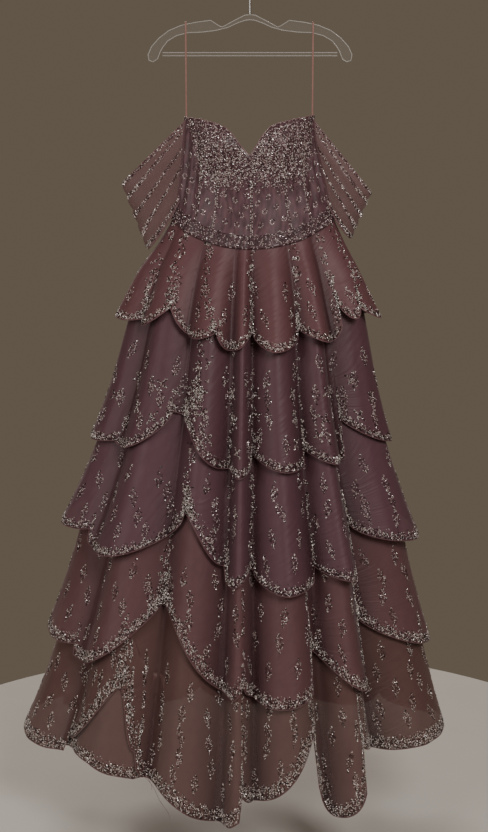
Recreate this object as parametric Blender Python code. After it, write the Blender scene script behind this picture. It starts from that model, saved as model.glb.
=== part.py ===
"""A-line evening gown with five tiers of scalloped petals, hung on a clear hanger.

Metres, +Z up, the front of the gown faces -Y. The origin is the inside of the hook's
crown, where a rail would carry the hanger. Angles go round the body in degrees: 0 is
the centre front, 90 the wearer's left side (+X), 180 the centre back.
"""
import math
from collections import namedtuple

import bmesh
import bpy
from mathutils import Vector

# Driving dimensions.
WALL = 0.002            # cloth wall of the bodice and the skirt
SLEEVE_WALL = 0.0016    # sheer sleeve band
BELT_WALL = 0.003       # beaded belt
SEAM = 0.0003           # gap between two sewn pieces
BELT_HEIGHT = 0.027
WAIST_SIDE = -0.477     # height of the waist seam at the sides
WAIST_DIP_FRONT = 0.057
WAIST_DIP_BACK = 0.026

HOOK_WIRE = 0.0026      # radius of the metal wire
HOOK_RADIUS = 0.023     # radius of the wire's centre line at the crown
HANGER_TOP = -0.085
HANGER_THICK = 0.006
BAR_HEIGHT = 0.008
RIBBON_LEFT_X = -0.1288
RIBBON_RIGHT_X = 0.1265
RIBBON_WIDTH = 0.0034
RIBBON_THICK = 0.0011

# Outline of the body and the skirt: half widths to -X and +X, depths forward and back,
# and how deep the skirt's folds are at that height.
Level = namedtuple("Level", "z left right front back fold")
BODY = (
    Level(-0.280, 0.132, 0.130, 0.056, 0.052, 0.000),
    Level(-0.335, 0.134, 0.134, 0.070, 0.055, 0.000),
    Level(-0.400, 0.139, 0.147, 0.070, 0.058, 0.000),
    Level(-0.440, 0.145, 0.157, 0.068, 0.060, 0.000),
    Level(-0.476, 0.152, 0.167, 0.070, 0.062, 0.001),
    Level(-0.540, 0.181, 0.192, 0.078, 0.067, 0.007),
    Level(-0.600, 0.214, 0.216, 0.100, 0.075, 0.020),
    Level(-0.720, 0.246, 0.242, 0.135, 0.087, 0.032),
    Level(-0.840, 0.270, 0.260, 0.160, 0.096, 0.036),
    Level(-0.970, 0.300, 0.284, 0.183, 0.104, 0.040),
    Level(-1.190, 0.348, 0.330, 0.217, 0.117, 0.044),
    Level(-1.430, 0.390, 0.371, 0.250, 0.130, 0.047),
    Level(-1.740, 0.438, 0.412, 0.285, 0.145, 0.048),
)

# Folds round the skirt, each an arch between two valleys: where it starts and ends,
# the number of facets across it and how deep its valleys are against the fold depth.
Fold = namedtuple("Fold", "start end facets rise")
FOLDS = (
    Fold(-106.0, -62.0, 11, 0.9),
    Fold(-62.0, -31.0, 9, 0.75),
    Fold(-31.0, -8.0, 6, 1.0),
    Fold(-8.0, 1.0, 3, 0.85),
    Fold(1.0, 24.0, 7, 1.0),
    Fold(24.0, 42.0, 5, 0.95),
    Fold(42.0, 98.0, 14, 1.0),
    Fold(98.0, 131.0, 6, 0.8),
    Fold(131.0, 164.0, 6, 0.8),
    Fold(164.0, 196.0, 6, 0.8),
    Fold(196.0, 226.0, 5, 0.8),
    Fold(226.0, 254.0, 5, 0.8),
)
VALLEY_SOFTNESS = 0.05

# Tiers of the skirt: where the cloth is sewn on (side and front), where its hem would
# lie without scallops, and how far the hem stands out to -X, +X and forward.
Tier = namedtuple("Tier", "name top_side top_front hem_side hem_front out_left out_right out_front")
TIERS = (
    Tier("tier_1", None, None, -0.690, -0.735, 0.041, 0.044, 0.030),
    Tier("tier_2", -0.585, -0.612, -0.940, -0.975, 0.042, 0.027, 0.026),
    Tier("tier_3", -0.775, -0.805, -1.125, -1.215, 0.068, 0.045, 0.034),
    Tier("tier_4", -0.985, -1.015, -1.355, -1.440, 0.056, 0.034, 0.034),
    Tier("tier_5", -1.170, -1.205, -1.595, -1.680, 0.084, 0.050, 0.040),
)

# Scalloped hems: one row for each notch, with its angle, its height, and the petal that
# follows it: how far across its lowest point lies, the height of that point, the height
# where the petal ends, and how round (under 1) or straight (over 1) its sides are.
Petal = namedtuple("Petal", "angle z low_at low_z end_z sides")
HEMS = {
    "tier_1": (
        Petal(-106.0, -0.668, 0.75, -0.694, -0.690, 1.2),
        Petal(-62.0, -0.692, 0.10, -0.701, -0.662, 0.9),
        Petal(-41.3, -0.662, 0.60, -0.720, -0.708, 1.0),
        Petal(-15.7, -0.704, 0.40, -0.743, -0.708, 0.8),
        Petal(1.0, -0.708, 0.45, -0.743, -0.716, 0.6),
        Petal(24.0, -0.704, 0.65, -0.729, -0.694, 0.9),
        Petal(50.0, -0.660, 0.60, -0.687, -0.668, 0.8),
        Petal(62.0, -0.666, 0.50, -0.691, -0.668, 0.8),
        Petal(98.0, -0.668, 0.50, -0.695, -0.670, 0.8),
        Petal(131.0, -0.670, 0.50, -0.697, -0.672, 0.8),
        Petal(164.0, -0.672, 0.50, -0.700, -0.672, 0.8),
        Petal(196.0, -0.672, 0.50, -0.697, -0.670, 0.8),
        Petal(226.0, -0.670, 0.50, -0.695, -0.668, 0.8),
    ),
    "tier_2": (
        Petal(-106.0, -0.910, 0.65, -0.945, -0.941, 0.8),
        Petal(-66.0, -0.943, 0.15, -0.950, -0.870, 0.6),
        Petal(-34.4, -0.870, 0.95, -0.978, -0.977, 2.0),
        Petal(-8.0, -0.978, 0.45, -0.990, -0.972, 0.8),
        Petal(1.0, -0.944, 0.65, -0.980, -0.976, 0.6),
        Petal(24.0, -0.944, 0.75, -0.973, -0.964, 0.8),
        Petal(46.0, -0.890, 0.60, -0.946, -0.910, 0.8),
        Petal(98.0, -0.910, 0.50, -0.945, -0.910, 0.8),
        Petal(131.0, -0.905, 0.50, -0.948, -0.905, 0.8),
        Petal(164.0, -0.905, 0.50, -0.950, -0.905, 0.8),
        Petal(196.0, -0.905, 0.50, -0.948, -0.905, 0.8),
        Petal(226.0, -0.905, 0.50, -0.945, -0.910, 0.8),
    ),
    "tier_3": (
        Petal(-106.0, -1.085, 0.80, -1.128, -1.124, 1.3),
        Petal(-66.0, -1.145, 0.20, -1.163, -1.065, 0.55),
        Petal(-23.3, -1.065, 0.97, -1.172, -1.171, 1.7),
        Petal(-8.0, -1.204, 0.10, -1.208, -1.166, 0.8),
        Petal(1.0, -1.180, 0.50, -1.221, -1.204, 0.5),
        Petal(24.0, -1.178, 0.75, -1.201, -1.196, 0.8),
        Petal(42.0, -1.096, 0.60, -1.149, -1.090, 0.5),
        Petal(98.0, -1.090, 0.50, -1.135, -1.090, 0.8),
        Petal(131.0, -1.085, 0.50, -1.140, -1.085, 0.8),
        Petal(164.0, -1.085, 0.50, -1.145, -1.085, 0.8),
        Petal(196.0, -1.085, 0.50, -1.140, -1.085, 0.8),
        Petal(226.0, -1.085, 0.50, -1.135, -1.085, 0.8),
    ),
    "tier_4": (
        Petal(-106.0, -1.300, 0.85, -1.373, -1.371, 1.3),
        Petal(-66.0, -1.392, 0.12, -1.399, -1.262, 0.9),
        Petal(-31.0, -1.262, 0.90, -1.431, -1.412, 1.8),
        Petal(-2.0, -1.405, 0.35, -1.450, -1.425, 0.6),
        Petal(20.7, -1.345, 0.95, -1.436, -1.434, 1.1),
        Petal(42.0, -1.300, 0.65, -1.376, -1.300, 0.8),
        Petal(98.0, -1.300, 0.50, -1.350, -1.300, 0.8),
        Petal(131.0, -1.295, 0.50, -1.355, -1.295, 0.8),
        Petal(164.0, -1.295, 0.50, -1.360, -1.295, 0.8),
        Petal(196.0, -1.295, 0.50, -1.355, -1.295, 0.8),
        Petal(226.0, -1.295, 0.50, -1.350, -1.300, 0.8),
    ),
    "tier_5": (
        Petal(-106.0, -1.552, 0.85, -1.598, -1.597, 1.6),
        Petal(-62.0, -1.562, 0.03, -1.563, -1.430, 1.2),
        Petal(-41.3, -1.430, 0.97, -1.560, -1.559, 1.8),
        Petal(-34.4, -1.560, 0.97, -1.614, -1.614, 0.6),
        Petal(-31.0, -1.614, 0.85, -1.692, -1.674, 2.0),
        Petal(-2.0, -1.630, 0.12, -1.649, -1.512, 0.9),
        Petal(20.7, -1.625, 0.35, -1.689, -1.612, 0.6),
        Petal(34.8, -1.548, 0.27, -1.580, -1.545, 0.9),
        Petal(98.0, -1.545, 0.50, -1.605, -1.560, 0.8),
        Petal(131.0, -1.555, 0.50, -1.612, -1.555, 0.8),
        Petal(164.0, -1.555, 0.50, -1.616, -1.555, 0.8),
        Petal(196.0, -1.555, 0.50, -1.612, -1.555, 0.8),
        Petal(226.0, -1.555, 0.50, -1.605, -1.552, 0.8),
    ),
}

# Under petal that shows in the lowest tier's left notch: its hem, from -X round to the
# front, and how far its hem hangs clear of the tier in front of it.
Hem = namedtuple("Hem", "angle z")
UNDER_PETAL = (
    Hem(-62.0, -1.590),
    Hem(-54.0, -1.588),
    Hem(-48.0, -1.594),
    Hem(-41.3, -1.610),
    Hem(-34.4, -1.620),
    Hem(-27.1, -1.608),
)
UNDER_PETAL_CLEAR = 0.012

# Sweetheart neckline: how far across the front (-1 to 1) and the height of its edge.
Edge = namedtuple("Edge", "across z")
NECKLINE = (
    Edge(-1.00, -0.287),
    Edge(-0.75, -0.291),
    Edge(-0.47, -0.301),
    Edge(-0.35, -0.309),
    Edge(-0.24, -0.324),
    Edge(-0.15, -0.341),
    Edge(0.00, -0.362),
    Edge(0.18, -0.324),
    Edge(0.31, -0.305),
    Edge(0.45, -0.298),
    Edge(0.76, -0.289),
    Edge(1.00, -0.283),
)
BACK_NECK_DROP = 0.100

# Bust cups: where they are fullest and how far they stand out.
CUP_ACROSS = 0.066
CUP_Z = -0.338
CUP_SIZE = 0.048
CUP_OUT = 0.016

# Underskirt: a plain flared tube inside the folds, seen through the lowest tier.
UNDERSKIRT_HEM = -1.398
UNDERSKIRT_CLEAR = 0.012
UNDERSKIRT_SEAT = 0.0005

# Off-the-shoulder sleeve bands: corners of the flattened loop, outside and inside.
Sleeve = namedtuple("Sleeve", "name side top_x top_z bottom_x bottom_z start_z end_z")
SLEEVES = (
    Sleeve("sleeve_left", -1, 0.262, -0.418, 0.211, -0.554, -0.292, -0.454),
    Sleeve("sleeve_right", 1, 0.249, -0.436, 0.208, -0.532, -0.291, -0.454),
)
SLEEVE_STEPS = 5        # beaded rows, each ending in a small step of the outer edge
SLEEVE_SAG = 0.010      # how far the lowest row hangs below a straight line

# Half outline of the hanger's arm, from the middle of its top edge round to the middle
# of its underside: distance from the middle and height.
Corner = namedtuple("Corner", "x z")
HANGER_ARM = (
    Corner(0.000, -0.085),
    Corner(0.010, -0.086),
    Corner(0.030, -0.096),
    Corner(0.055, -0.109),
    Corner(0.062, -0.107),
    Corner(0.079, -0.096),
    Corner(0.110, -0.100),
    Corner(0.138, -0.106),
    Corner(0.162, -0.116),
    Corner(0.182, -0.131),
    Corner(0.197, -0.148),
    Corner(0.204, -0.164),
    Corner(0.202, -0.176),
    Corner(0.195, -0.179),
    Corner(0.187, -0.173),
    Corner(0.181, -0.158),
    Corner(0.176, -0.150),
    Corner(0.166, -0.138),
    Corner(0.148, -0.128),
    Corner(0.125, -0.122),
    Corner(0.095, -0.121),
    Corner(0.070, -0.118),
    Corner(0.045, -0.112),
    Corner(0.025, -0.103),
    Corner(0.010, -0.098),
    Corner(0.000, -0.097),
)
BAR_HALF = 0.1765
BAR_Z = -0.163

def smooth(rows, at, field):
    """Value of a column at a height, on a curve through the rows of the table."""
    if at >= rows[0].z:
        return getattr(rows[0], field)
    if at <= rows[-1].z:
        return getattr(rows[-1], field)
    k = 0
    while rows[k + 1].z > at:
        k += 1

    def slope(i):
        low = max(0, i - 1)
        high = min(len(rows) - 1, i + 1)
        return (getattr(rows[high], field) - getattr(rows[low], field)) / (rows[high].z - rows[low].z)

    span = rows[k + 1].z - rows[k].z
    t = (at - rows[k].z) / span
    first = getattr(rows[k], field)
    second = getattr(rows[k + 1], field)
    return (
        first * (2 * t ** 3 - 3 * t ** 2 + 1)
        + slope(k) * span * (t ** 3 - 2 * t ** 2 + t)
        + second * (3 * t ** 2 - 2 * t ** 3)
        + slope(k + 1) * span * (t ** 3 - t ** 2)
    )


def section(angle):
    """Sine and cosine of an angle round the body, given in degrees."""
    turn = math.radians(angle)
    return math.sin(turn), math.cos(turn)


def fold_columns():
    """Angles round the body where the walls have an edge, from the first fold's start."""
    angles = []
    for fold in FOLDS:
        step = (fold.end - fold.start) / fold.facets
        angles += [fold.start + step * i for i in range(fold.facets)]
    return angles


COLUMNS = fold_columns()


def wrap(angle):
    """The same direction, between the first fold's start and one turn further."""
    return (angle - FOLDS[0].start) % 360.0 + FOLDS[0].start


def valley(angle):
    """0 on the crest of a fold, up to 1 in the valley between two folds."""
    angle = wrap(angle)
    for i, fold in enumerate(FOLDS):
        if angle < fold.end or i == len(FOLDS) - 1:
            t = (angle - fold.start) / (fold.end - fold.start)
            soft = math.sqrt(VALLEY_SOFTNESS)
            arch = (math.sqrt(math.sin(math.pi * t) ** 2 + VALLEY_SOFTNESS) - soft)
            arch /= math.sqrt(1.0 + VALLEY_SOFTNESS) - soft
            other = FOLDS[i - 1] if t < 0.5 else FOLDS[(i + 1) % len(FOLDS)]
            side = abs(t - 0.5)
            rise = fold.rise * (1.0 - side) + 0.5 * (fold.rise + other.rise) * side
            return rise * (1.0 - arch)
    return 0.0


def outward(angle, z):
    """Direction away from the body's axis, square to the plain outline."""
    s, c = section(angle)
    a = smooth(BODY, z, "left" if s < 0 else "right")
    b = smooth(BODY, z, "front" if c > 0 else "back")
    return Vector((s / a, -c / b, 0.0)).normalized()


def body_point(angle, z):
    """Point of the body's or the skirt's base surface, with its folds."""
    s, c = section(angle)
    a = smooth(BODY, z, "left" if s < 0 else "right")
    b = smooth(BODY, z, "front" if c > 0 else "back")
    point = Vector((a * s, -b * c, z))
    return point - outward(angle, z) * smooth(BODY, z, "fold") * valley(angle)


def cup(x, z):
    """How far the bust stands out of the bodice's front."""
    total = 0.0
    for side in (-1, 1):
        far = ((x - side * CUP_ACROSS) ** 2 + (z - CUP_Z) ** 2) / CUP_SIZE ** 2
        total += CUP_OUT * math.exp(-far * 1.6)
    return total


def bodice_point(angle, z):
    """Point of the bodice, with its cups in front."""
    point = body_point(angle, z)
    s, c = section(angle)
    if c > 0:
        point.y -= cup(point.x, z) * min(1.0, 2.0 * c)
    return point


def neck_height(angle):
    """Height of the bodice's top edge."""
    s, c = section(angle)
    if c < 0:
        return NECKLINE[0].z - BACK_NECK_DROP * abs(c) ** 0.6
    for first, second in zip(NECKLINE, NECKLINE[1:]):
        if s <= second.across:
            t = (s - first.across) / (second.across - first.across)
            return first.z + (second.z - first.z) * t
    return NECKLINE[-1].z


def waist_height(angle):
    """Height of the waist seam, which dips in front."""
    c = section(angle)[1]
    return WAIST_SIDE - (WAIST_DIP_FRONT if c > 0 else WAIST_DIP_BACK) * c * c


def tier_top(k, angle):
    """Height where a tier is sewn on."""
    tier = TIERS[k]
    if tier.top_side is None:
        return waist_height(angle) - SEAM
    c = section(angle)[1]
    return tier.top_side + (tier.top_front - tier.top_side) * c * c * (1.0 if c > 0 else 0.3)


def tier_plain_hem(k, angle):
    """Height of a tier's hem if it had no scallops."""
    tier = TIERS[k]
    c = section(angle)[1]
    return tier.hem_side + (tier.hem_front - tier.hem_side) * c * c * (1.0 if c > 0 else 0.1)


def tier_hem(k, angle):
    """Height of a tier's scalloped hem."""
    petals = HEMS[TIERS[k].name]
    nearest = [min(COLUMNS, key=lambda column: abs(column - petal.angle)) for petal in petals]
    angle = wrap(angle)
    i = max(n for n in range(len(petals)) if nearest[n] <= angle + 1e-6)
    petal = petals[i]
    end = nearest[i + 1] if i + 1 < len(petals) else FOLDS[-1].end
    t = min(1.0, max(0.0, (angle - nearest[i]) / (end - nearest[i])))
    if t < petal.low_at:
        return petal.z + (petal.low_z - petal.z) * math.sin(math.pi / 2 * t / petal.low_at) ** petal.sides
    t = (1.0 - t) / (1.0 - petal.low_at)
    return petal.end_z + (petal.low_z - petal.end_z) * math.sin(math.pi / 2 * t) ** petal.sides


def tier_out(k, angle, z):
    """How far a tier stands out from the base surface, and how far down it that is."""
    tier = TIERS[k]
    s, c = section(angle)
    top = tier_top(k, angle)
    down = max(0.0, (top - z) / (top - tier_plain_hem(k, angle)))
    out = (tier.out_left if s < 0 else tier.out_right) * s * s
    out += tier.out_front * c * c * (1.0 if c > 0 else 0.5)
    carried = tier_out(k - 1, angle, top)[0] if k else 0.0
    return carried * (1.0 - min(1.0, down)) ** 2 + out * down ** 1.6, down


def plan_normals(ring):
    """Level direction out of a closed ring of points, at each of them."""
    normals = []
    for i, point in enumerate(ring):
        along = ring[(i + 1) % len(ring)] - ring[i - 1]
        normals.append(Vector((along.y, -along.x, 0.0)).normalized())
    return normals


def tier_rows(k, angle):
    """Heights of a tier's rows, one of them where the next tier is sewn on."""
    top = tier_top(k, angle)
    hem = tier_hem(k, angle)
    rows = [top]
    if k == 0:
        rows.append(top - BELT_HEIGHT / 2 - 0.002)
    if k + 1 < len(TIERS):
        joint = tier_top(k + 1, angle)
        rows.append((rows[-1] + joint) / 2)
        rows.append(joint)
        rows += [joint + (hem - joint) * t for t in (0.5, 1.0)]
    else:
        rows += [top + (hem - top) * t for t in (0.25, 0.5, 0.75, 1.0)]
    return rows


def build_tiers():
    """Middle surface and normals of each tier, ring by ring."""
    surfaces = []
    shift = [Vector() for _ in COLUMNS]
    for k in range(len(TIERS)):
        heights = [tier_rows(k, angle) for angle in COLUMNS]
        rings = []
        for j in range(len(heights[0])):
            ring = []
            for i, angle in enumerate(COLUMNS):
                z = heights[i][j]
                out, down = tier_out(k, angle, z)
                point = body_point(angle, z) + outward(angle, z) * out
                ring.append(point + shift[i] * max(0.0, 1.0 - down))
            rings.append(ring)
        normals = [plan_normals(ring) for ring in rings]
        surfaces.append((rings, normals))
        joint = len(rings) - 3
        for i, angle in enumerate(COLUMNS):
            kept = max(0.0, 1.0 - tier_out(k, angle, heights[i][joint])[1])
            shift[i] = shift[i] * kept - normals[joint][i] * (WALL + SEAM)
    return surfaces


def under_petal(rings, normals):
    """Middle surface and normals of the under petal, behind the lowest tier's own rows."""
    last = len(TIERS) - 1
    first = rings[-3]
    second = rings[-2]
    middle = [[] for _ in range(5)]
    facing = [[] for _ in range(5)]
    for i, angle in enumerate(COLUMNS):
        if not UNDER_PETAL[0].angle - 1e-6 <= angle <= UNDER_PETAL[-1].angle + 1e-6:
            continue
        below = [hem for hem in UNDER_PETAL if hem.angle <= angle + 1e-6][-1]
        above = UNDER_PETAL[min(len(UNDER_PETAL) - 1, UNDER_PETAL.index(below) + 1)]
        share = (angle - below.angle) / max(1e-6, above.angle - below.angle)
        hem = below.z + (above.z - below.z) * share
        column = [first[i], second[i]]
        for t in (1 / 3, 2 / 3, 1.0):
            z = second[i].z + (hem - second[i].z) * t
            column.append(body_point(angle, z) + outward(angle, z) * tier_out(last, angle, z)[0])
        for j, point in enumerate(column):
            normal = normals[min(j, 1) - 3][i]
            middle[j].append(point - normal * (WALL + SEAM + UNDER_PETAL_CLEAR * j / 4))
            facing[j].append(normal)
    return middle, facing


def material(name, colour, roughness, metallic=0.0, alpha=1.0):
    """A principled material with the look of one kind of surface."""
    made = bpy.data.materials.new(name)
    made.use_nodes = True
    shader = made.node_tree.nodes["Principled BSDF"]
    shader.inputs["Base Color"].default_value = (*colour, 1.0)
    shader.inputs["Roughness"].default_value = roughness
    shader.inputs["Metallic"].default_value = metallic
    shader.inputs["Alpha"].default_value = alpha
    return made


def add_object(name, points, faces, look):
    """An object at the origin from points and faces."""
    mesh = bpy.data.meshes.new(name)
    mesh.from_pydata([tuple(point) for point in points], [], faces)
    mesh.materials.append(look)
    mesh.validate()
    made = bpy.data.objects.new(name, mesh)
    bpy.context.scene.collection.objects.link(made)
    return made


def wall(name, middle, normals, thick, look):
    """A closed wall round an open sheet: rows of middle points with their normals."""
    rows = len(middle)
    across = len(middle[0])
    points = []
    for side in (0.5, -0.5):
        for j in range(rows):
            points += [middle[j][i] + normals[j][i] * thick * side for i in range(across)]

    def at(side, j, i):
        return side * rows * across + j * across + i

    faces = []
    for j in range(rows - 1):
        for i in range(across - 1):
            for side in (0, 1):
                corners = [at(side, j, i), at(side, j + 1, i), at(side, j + 1, i + 1), at(side, j, i + 1)]
                for face in ((corners[0], corners[1], corners[2]), (corners[0], corners[2], corners[3])):
                    faces.append(face if side == 0 else face[::-1])
    rim = [(0, i) for i in range(across)]
    rim += [(j, across - 1) for j in range(1, rows)]
    rim += [(rows - 1, i) for i in range(across - 2, -1, -1)]
    rim += [(j, 0) for j in range(rows - 2, 0, -1)]
    for (j, i), (j2, i2) in zip(rim, rim[1:] + rim[:1]):
        faces.append((at(0, j, i), at(0, j2, i2), at(1, j2, i2)))
        faces.append((at(0, j, i), at(1, j2, i2), at(1, j, i)))
    return add_object(name, points, faces, look)


def cut(rings, normals, start, end):
    """The part of a closed ring surface between two angles, drawn in by half a seam."""
    chosen = []
    for turn in (0.0, 360.0):
        chosen += [(c + turn, i) for i, c in enumerate(COLUMNS) if start - 1e-6 <= c + turn <= end + 1e-6]
    chosen = [i for angle, i in sorted(chosen)]
    panel = []
    for ring in rings:
        row = [ring[i].copy() for i in chosen]
        row[0] += (row[1] - row[0]).normalized() * SEAM / 2
        row[-1] += (row[-2] - row[-1]).normalized() * SEAM / 2
        panel.append(row)
    return panel, [[row[i] for i in chosen] for row in normals]


def nearest_column(angle):
    """The wall edge nearest to an angle."""
    return min(COLUMNS + [COLUMNS[0] + 360.0], key=lambda column: abs(column - angle))


def add_skirt(look):
    """Five tiers, each cut as a front and a back panel."""
    surfaces = build_tiers()
    for tier, (rings, normals) in zip(TIERS, surfaces):
        wall(tier.name + "_front", *cut(rings, normals, -90.0, 90.0), WALL, look)
        wall(tier.name + "_back", *cut(rings, normals, 90.0, 270.0), WALL, look)
    wall("under_petal", *under_petal(*surfaces[-1]), WALL, look)
    return surfaces[0]


BODICE_PANELS = (
    ("bodice_side_left", -90.0, -43.9),
    ("bodice_front_left", -43.9, 1.0),
    ("bodice_front_right", 1.0, 46.0),
    ("bodice_side_right", 46.0, 90.0),
    ("bodice_back_right", 90.0, 180.0),
    ("bodice_back_left", 180.0, 270.0),
)


def add_bodice(look):
    """Six fitted panels; gives back their lowest rows for the belt."""
    rings = []
    for share in (0.0, 0.15, 0.32, 0.52, 0.76, 1.0):
        ring = []
        for angle in COLUMNS:
            top = neck_height(angle)
            low = waist_height(angle) + BELT_HEIGHT / 2 + 0.002
            ring.append(bodice_point(angle, top + (low - top) * share))
        rings.append(ring)
    rings.append([bodice_point(angle, waist_height(angle)) for angle in COLUMNS])
    normals = [plan_normals(ring) for ring in rings]
    for name, start, end in BODICE_PANELS:
        panel = cut(rings, normals, nearest_column(start), nearest_column(end % 360.0 if end > 252.0 else end)
                    if end <= 252.0 else 270.0)
        wall(name, *panel, WALL, look)
    return rings[-2:]


def add_belt(bodice_rows, skirt_rows, look):
    """A beaded belt over the waist seam, in a front and a back length."""
    upper = (BELT_HEIGHT / 2) / (BELT_HEIGHT / 2 + 0.002)
    rings = [
        [low.lerp(high, upper) for high, low in zip(bodice_rows[0], bodice_rows[1])],
        list(bodice_rows[1]),
        [high.lerp(low, upper) for high, low in zip(skirt_rows[0], skirt_rows[1])],
    ]
    normals = [plan_normals(ring) for ring in rings]
    out = WALL / 2 + SEAM + BELT_WALL / 2
    rings = [[p + n * out for p, n in zip(ring, row)] for ring, row in zip(rings, normals)]
    wall("belt_front", *cut(rings, normals, -90.0, 90.0), BELT_WALL, look)
    wall("belt_back", *cut(rings, normals, 90.0, 270.0), BELT_WALL, look)


def add_underskirt(look):
    """The lining's flared tube, in a front and a back panel."""
    rings = []
    for share in (0.0, 0.08, 0.22, 0.55, 1.0):
        ring = []
        for angle in COLUMNS:
            s, c = section(angle)
            top = waist_height(angle) - SEAM - BELT_HEIGHT / 2
            hem = UNDERSKIRT_HEM + 0.03 * s * s
            z = top + (hem - top) * share
            spread = min(1.0, 8.0 * share)
            inward = WALL + SEAM + UNDERSKIRT_SEAT + smooth(BODY, z, "fold") + UNDERSKIRT_CLEAR * spread
            a = smooth(BODY, z, "left" if s < 0 else "right") - inward
            b = smooth(BODY, z, "front" if c > 0 else "back") - inward
            ring.append(Vector((a * s, -b * c, z)))
        rings.append(ring)
    normals = [plan_normals(ring) for ring in rings]
    wall("underskirt_front", *cut(rings, normals, -90.0, 90.0), WALL, look)
    wall("underskirt_back", *cut(rings, normals, 90.0, 270.0), WALL, look)


def add_sleeve(sleeve, look):
    """A band that leaves the bodice's side in front, hangs out and comes back behind."""
    rows = 10
    across = 14
    surface = []
    for j in range(rows + 1):
        v = j / rows
        start_z = sleeve.start_z + (sleeve.end_z - sleeve.start_z) * v
        end_x = sleeve.top_x + (sleeve.bottom_x - sleeve.top_x) * v
        end_z = sleeve.top_z + (sleeve.bottom_z - sleeve.top_z) * v
        end_x += 0.0035 * (abs(math.sin(math.pi * SLEEVE_STEPS * v)) - 0.5)
        fore = bodice_point(sleeve.side * 74.0, start_z)
        fore_out = outward(sleeve.side * 74.0, start_z)
        aft = bodice_point(sleeve.side * 106.0, start_z)
        aft_out = outward(sleeve.side * 106.0, start_z)
        seat = WALL / 2 + 2 * SEAM
        fore = fore + fore_out * seat
        aft = aft + aft_out * seat
        row = []
        for i in range(across + 1):
            turn = math.pi * i / across
            reach = math.sin(turn)
            root = fore.lerp(aft, i / across)
            x = root.x + (sleeve.side * end_x - root.x) * reach
            y = 0.5 * (fore.y + aft.y) + 0.5 * (fore.y - aft.y) * math.cos(turn)
            y -= 0.008 * math.sin(2.0 * turn)
            z = start_z + (end_z - start_z) * reach - SLEEVE_SAG * v * v * math.sin(math.pi * reach)
            row.append(Vector((x, y, z)))
        surface.append(row)
    normals = []
    for j in range(rows + 1):
        line = []
        for i in range(across + 1):
            along = surface[j][min(across, i + 1)] - surface[j][max(0, i - 1)]
            down = surface[min(rows, j + 1)][i] - surface[max(0, j - 1)][i]
            line.append(along.cross(down).normalized() * -sleeve.side)
        normals.append(line)
    wall(sleeve.name, surface, normals, SLEEVE_WALL, look)


def add_ribbon(name, at_x, look):
    """A hanging loop: up the front of the arm, over it and down behind, into the bodice."""
    arm_top = -0.1035
    low = -0.305
    reach = HANGER_THICK / 2 + SEAM + RIBBON_THICK / 2
    path = [Vector((0.0, -reach, low)), Vector((0.0, -reach, (low + arm_top) / 2))]
    for i in range(7):
        turn = math.pi * i / 6
        path.append(Vector((0.0, -reach * math.cos(turn), arm_top + reach * math.sin(turn))))
    path += [Vector((0.0, reach, (low + arm_top) / 2)), Vector((0.0, reach, low))]
    surface = []
    normals = []
    for edge in (-0.5, 0.5):
        row = []
        line = []
        for i, point in enumerate(path):
            along = path[min(len(path) - 1, i + 1)] - path[max(0, i - 1)]
            row.append(point + Vector((at_x + edge * RIBBON_WIDTH, 0.0, 0.0)))
            line.append(Vector((0.0, -along.z, along.y)).normalized())
        surface.append(row)
        normals.append(line)
    wall(name, surface, normals, RIBBON_THICK, look)


def add_hanger(clear, metal):
    """Clear arms with notches, a clear bar below them and a wire hook."""
    right = [(corner.x, corner.z) for corner in HANGER_ARM]
    left = [(-x, z) for x, z in reversed(right[1:-1])]
    outline = right + left
    half = HANGER_THICK / 2
    points = [(x, -half, z) for x, z in outline] + [(x, half, z) for x, z in outline]
    count = len(outline)
    faces = [tuple(range(count)), tuple(range(2 * count - 1, count - 1, -1))]
    faces += [(i, i + count, (i + 1) % count + count, (i + 1) % count) for i in range(count)]
    arms = add_object("hanger_arms", points, faces, clear)
    bevel = arms.modifiers.new("rounded_edges", "BEVEL")
    bevel.width = 0.0012
    bevel.segments = 1
    bevel.limit_method = "ANGLE"
    bevel.angle_limit = math.radians(50.0)

    low = BAR_Z - BAR_HEIGHT / 2
    high = BAR_Z + BAR_HEIGHT / 2
    points = []
    for x in (-BAR_HALF, BAR_HALF):
        points += [(x, -half, low), (x, half, low), (x, half, high), (x, -half, high)]
    faces = [(0, 1, 2, 3), (7, 6, 5, 4), (0, 4, 5, 1), (1, 5, 6, 2), (2, 6, 7, 3), (3, 7, 4, 0)]
    bar = add_object("hanger_bar", points, faces, clear)
    bevel = bar.modifiers.new("rounded_edges", "BEVEL")
    bevel.width = 0.0012
    bevel.segments = 1

    centre = -(HOOK_RADIUS - HOOK_WIRE)
    path = [Vector((0.0, 0.0, HANGER_TOP + SEAM))]
    neck = centre - HOOK_RADIUS - 0.012
    path.append(Vector((0.0, 0.0, neck)))
    for i in range(19):
        turn = math.radians(-62.0 + 250.0 * i / 18)
        path.append(Vector((HOOK_RADIUS * math.cos(turn), 0.0, centre + HOOK_RADIUS * math.sin(turn))))
    sides = 8
    points = []
    for i, point in enumerate(path):
        along = (path[min(len(path) - 1, i + 1)] - path[max(0, i - 1)]).normalized()
        across = Vector((along.z, 0.0, -along.x))
        for n in range(sides):
            turn = 2.0 * math.pi * n / sides
            points.append(point + (across * math.cos(turn) + Vector((0.0, math.sin(turn), 0.0))) * HOOK_WIRE)
    faces = []
    for i in range(len(path) - 1):
        for n in range(sides):
            m = (n + 1) % sides
            faces.append((i * sides + n, i * sides + m, (i + 1) * sides + m, (i + 1) * sides + n))
    faces.append(tuple(range(sides))[::-1])
    faces.append(tuple((len(path) - 1) * sides + n for n in range(sides)))
    add_object("hook", points, faces, metal)


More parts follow.
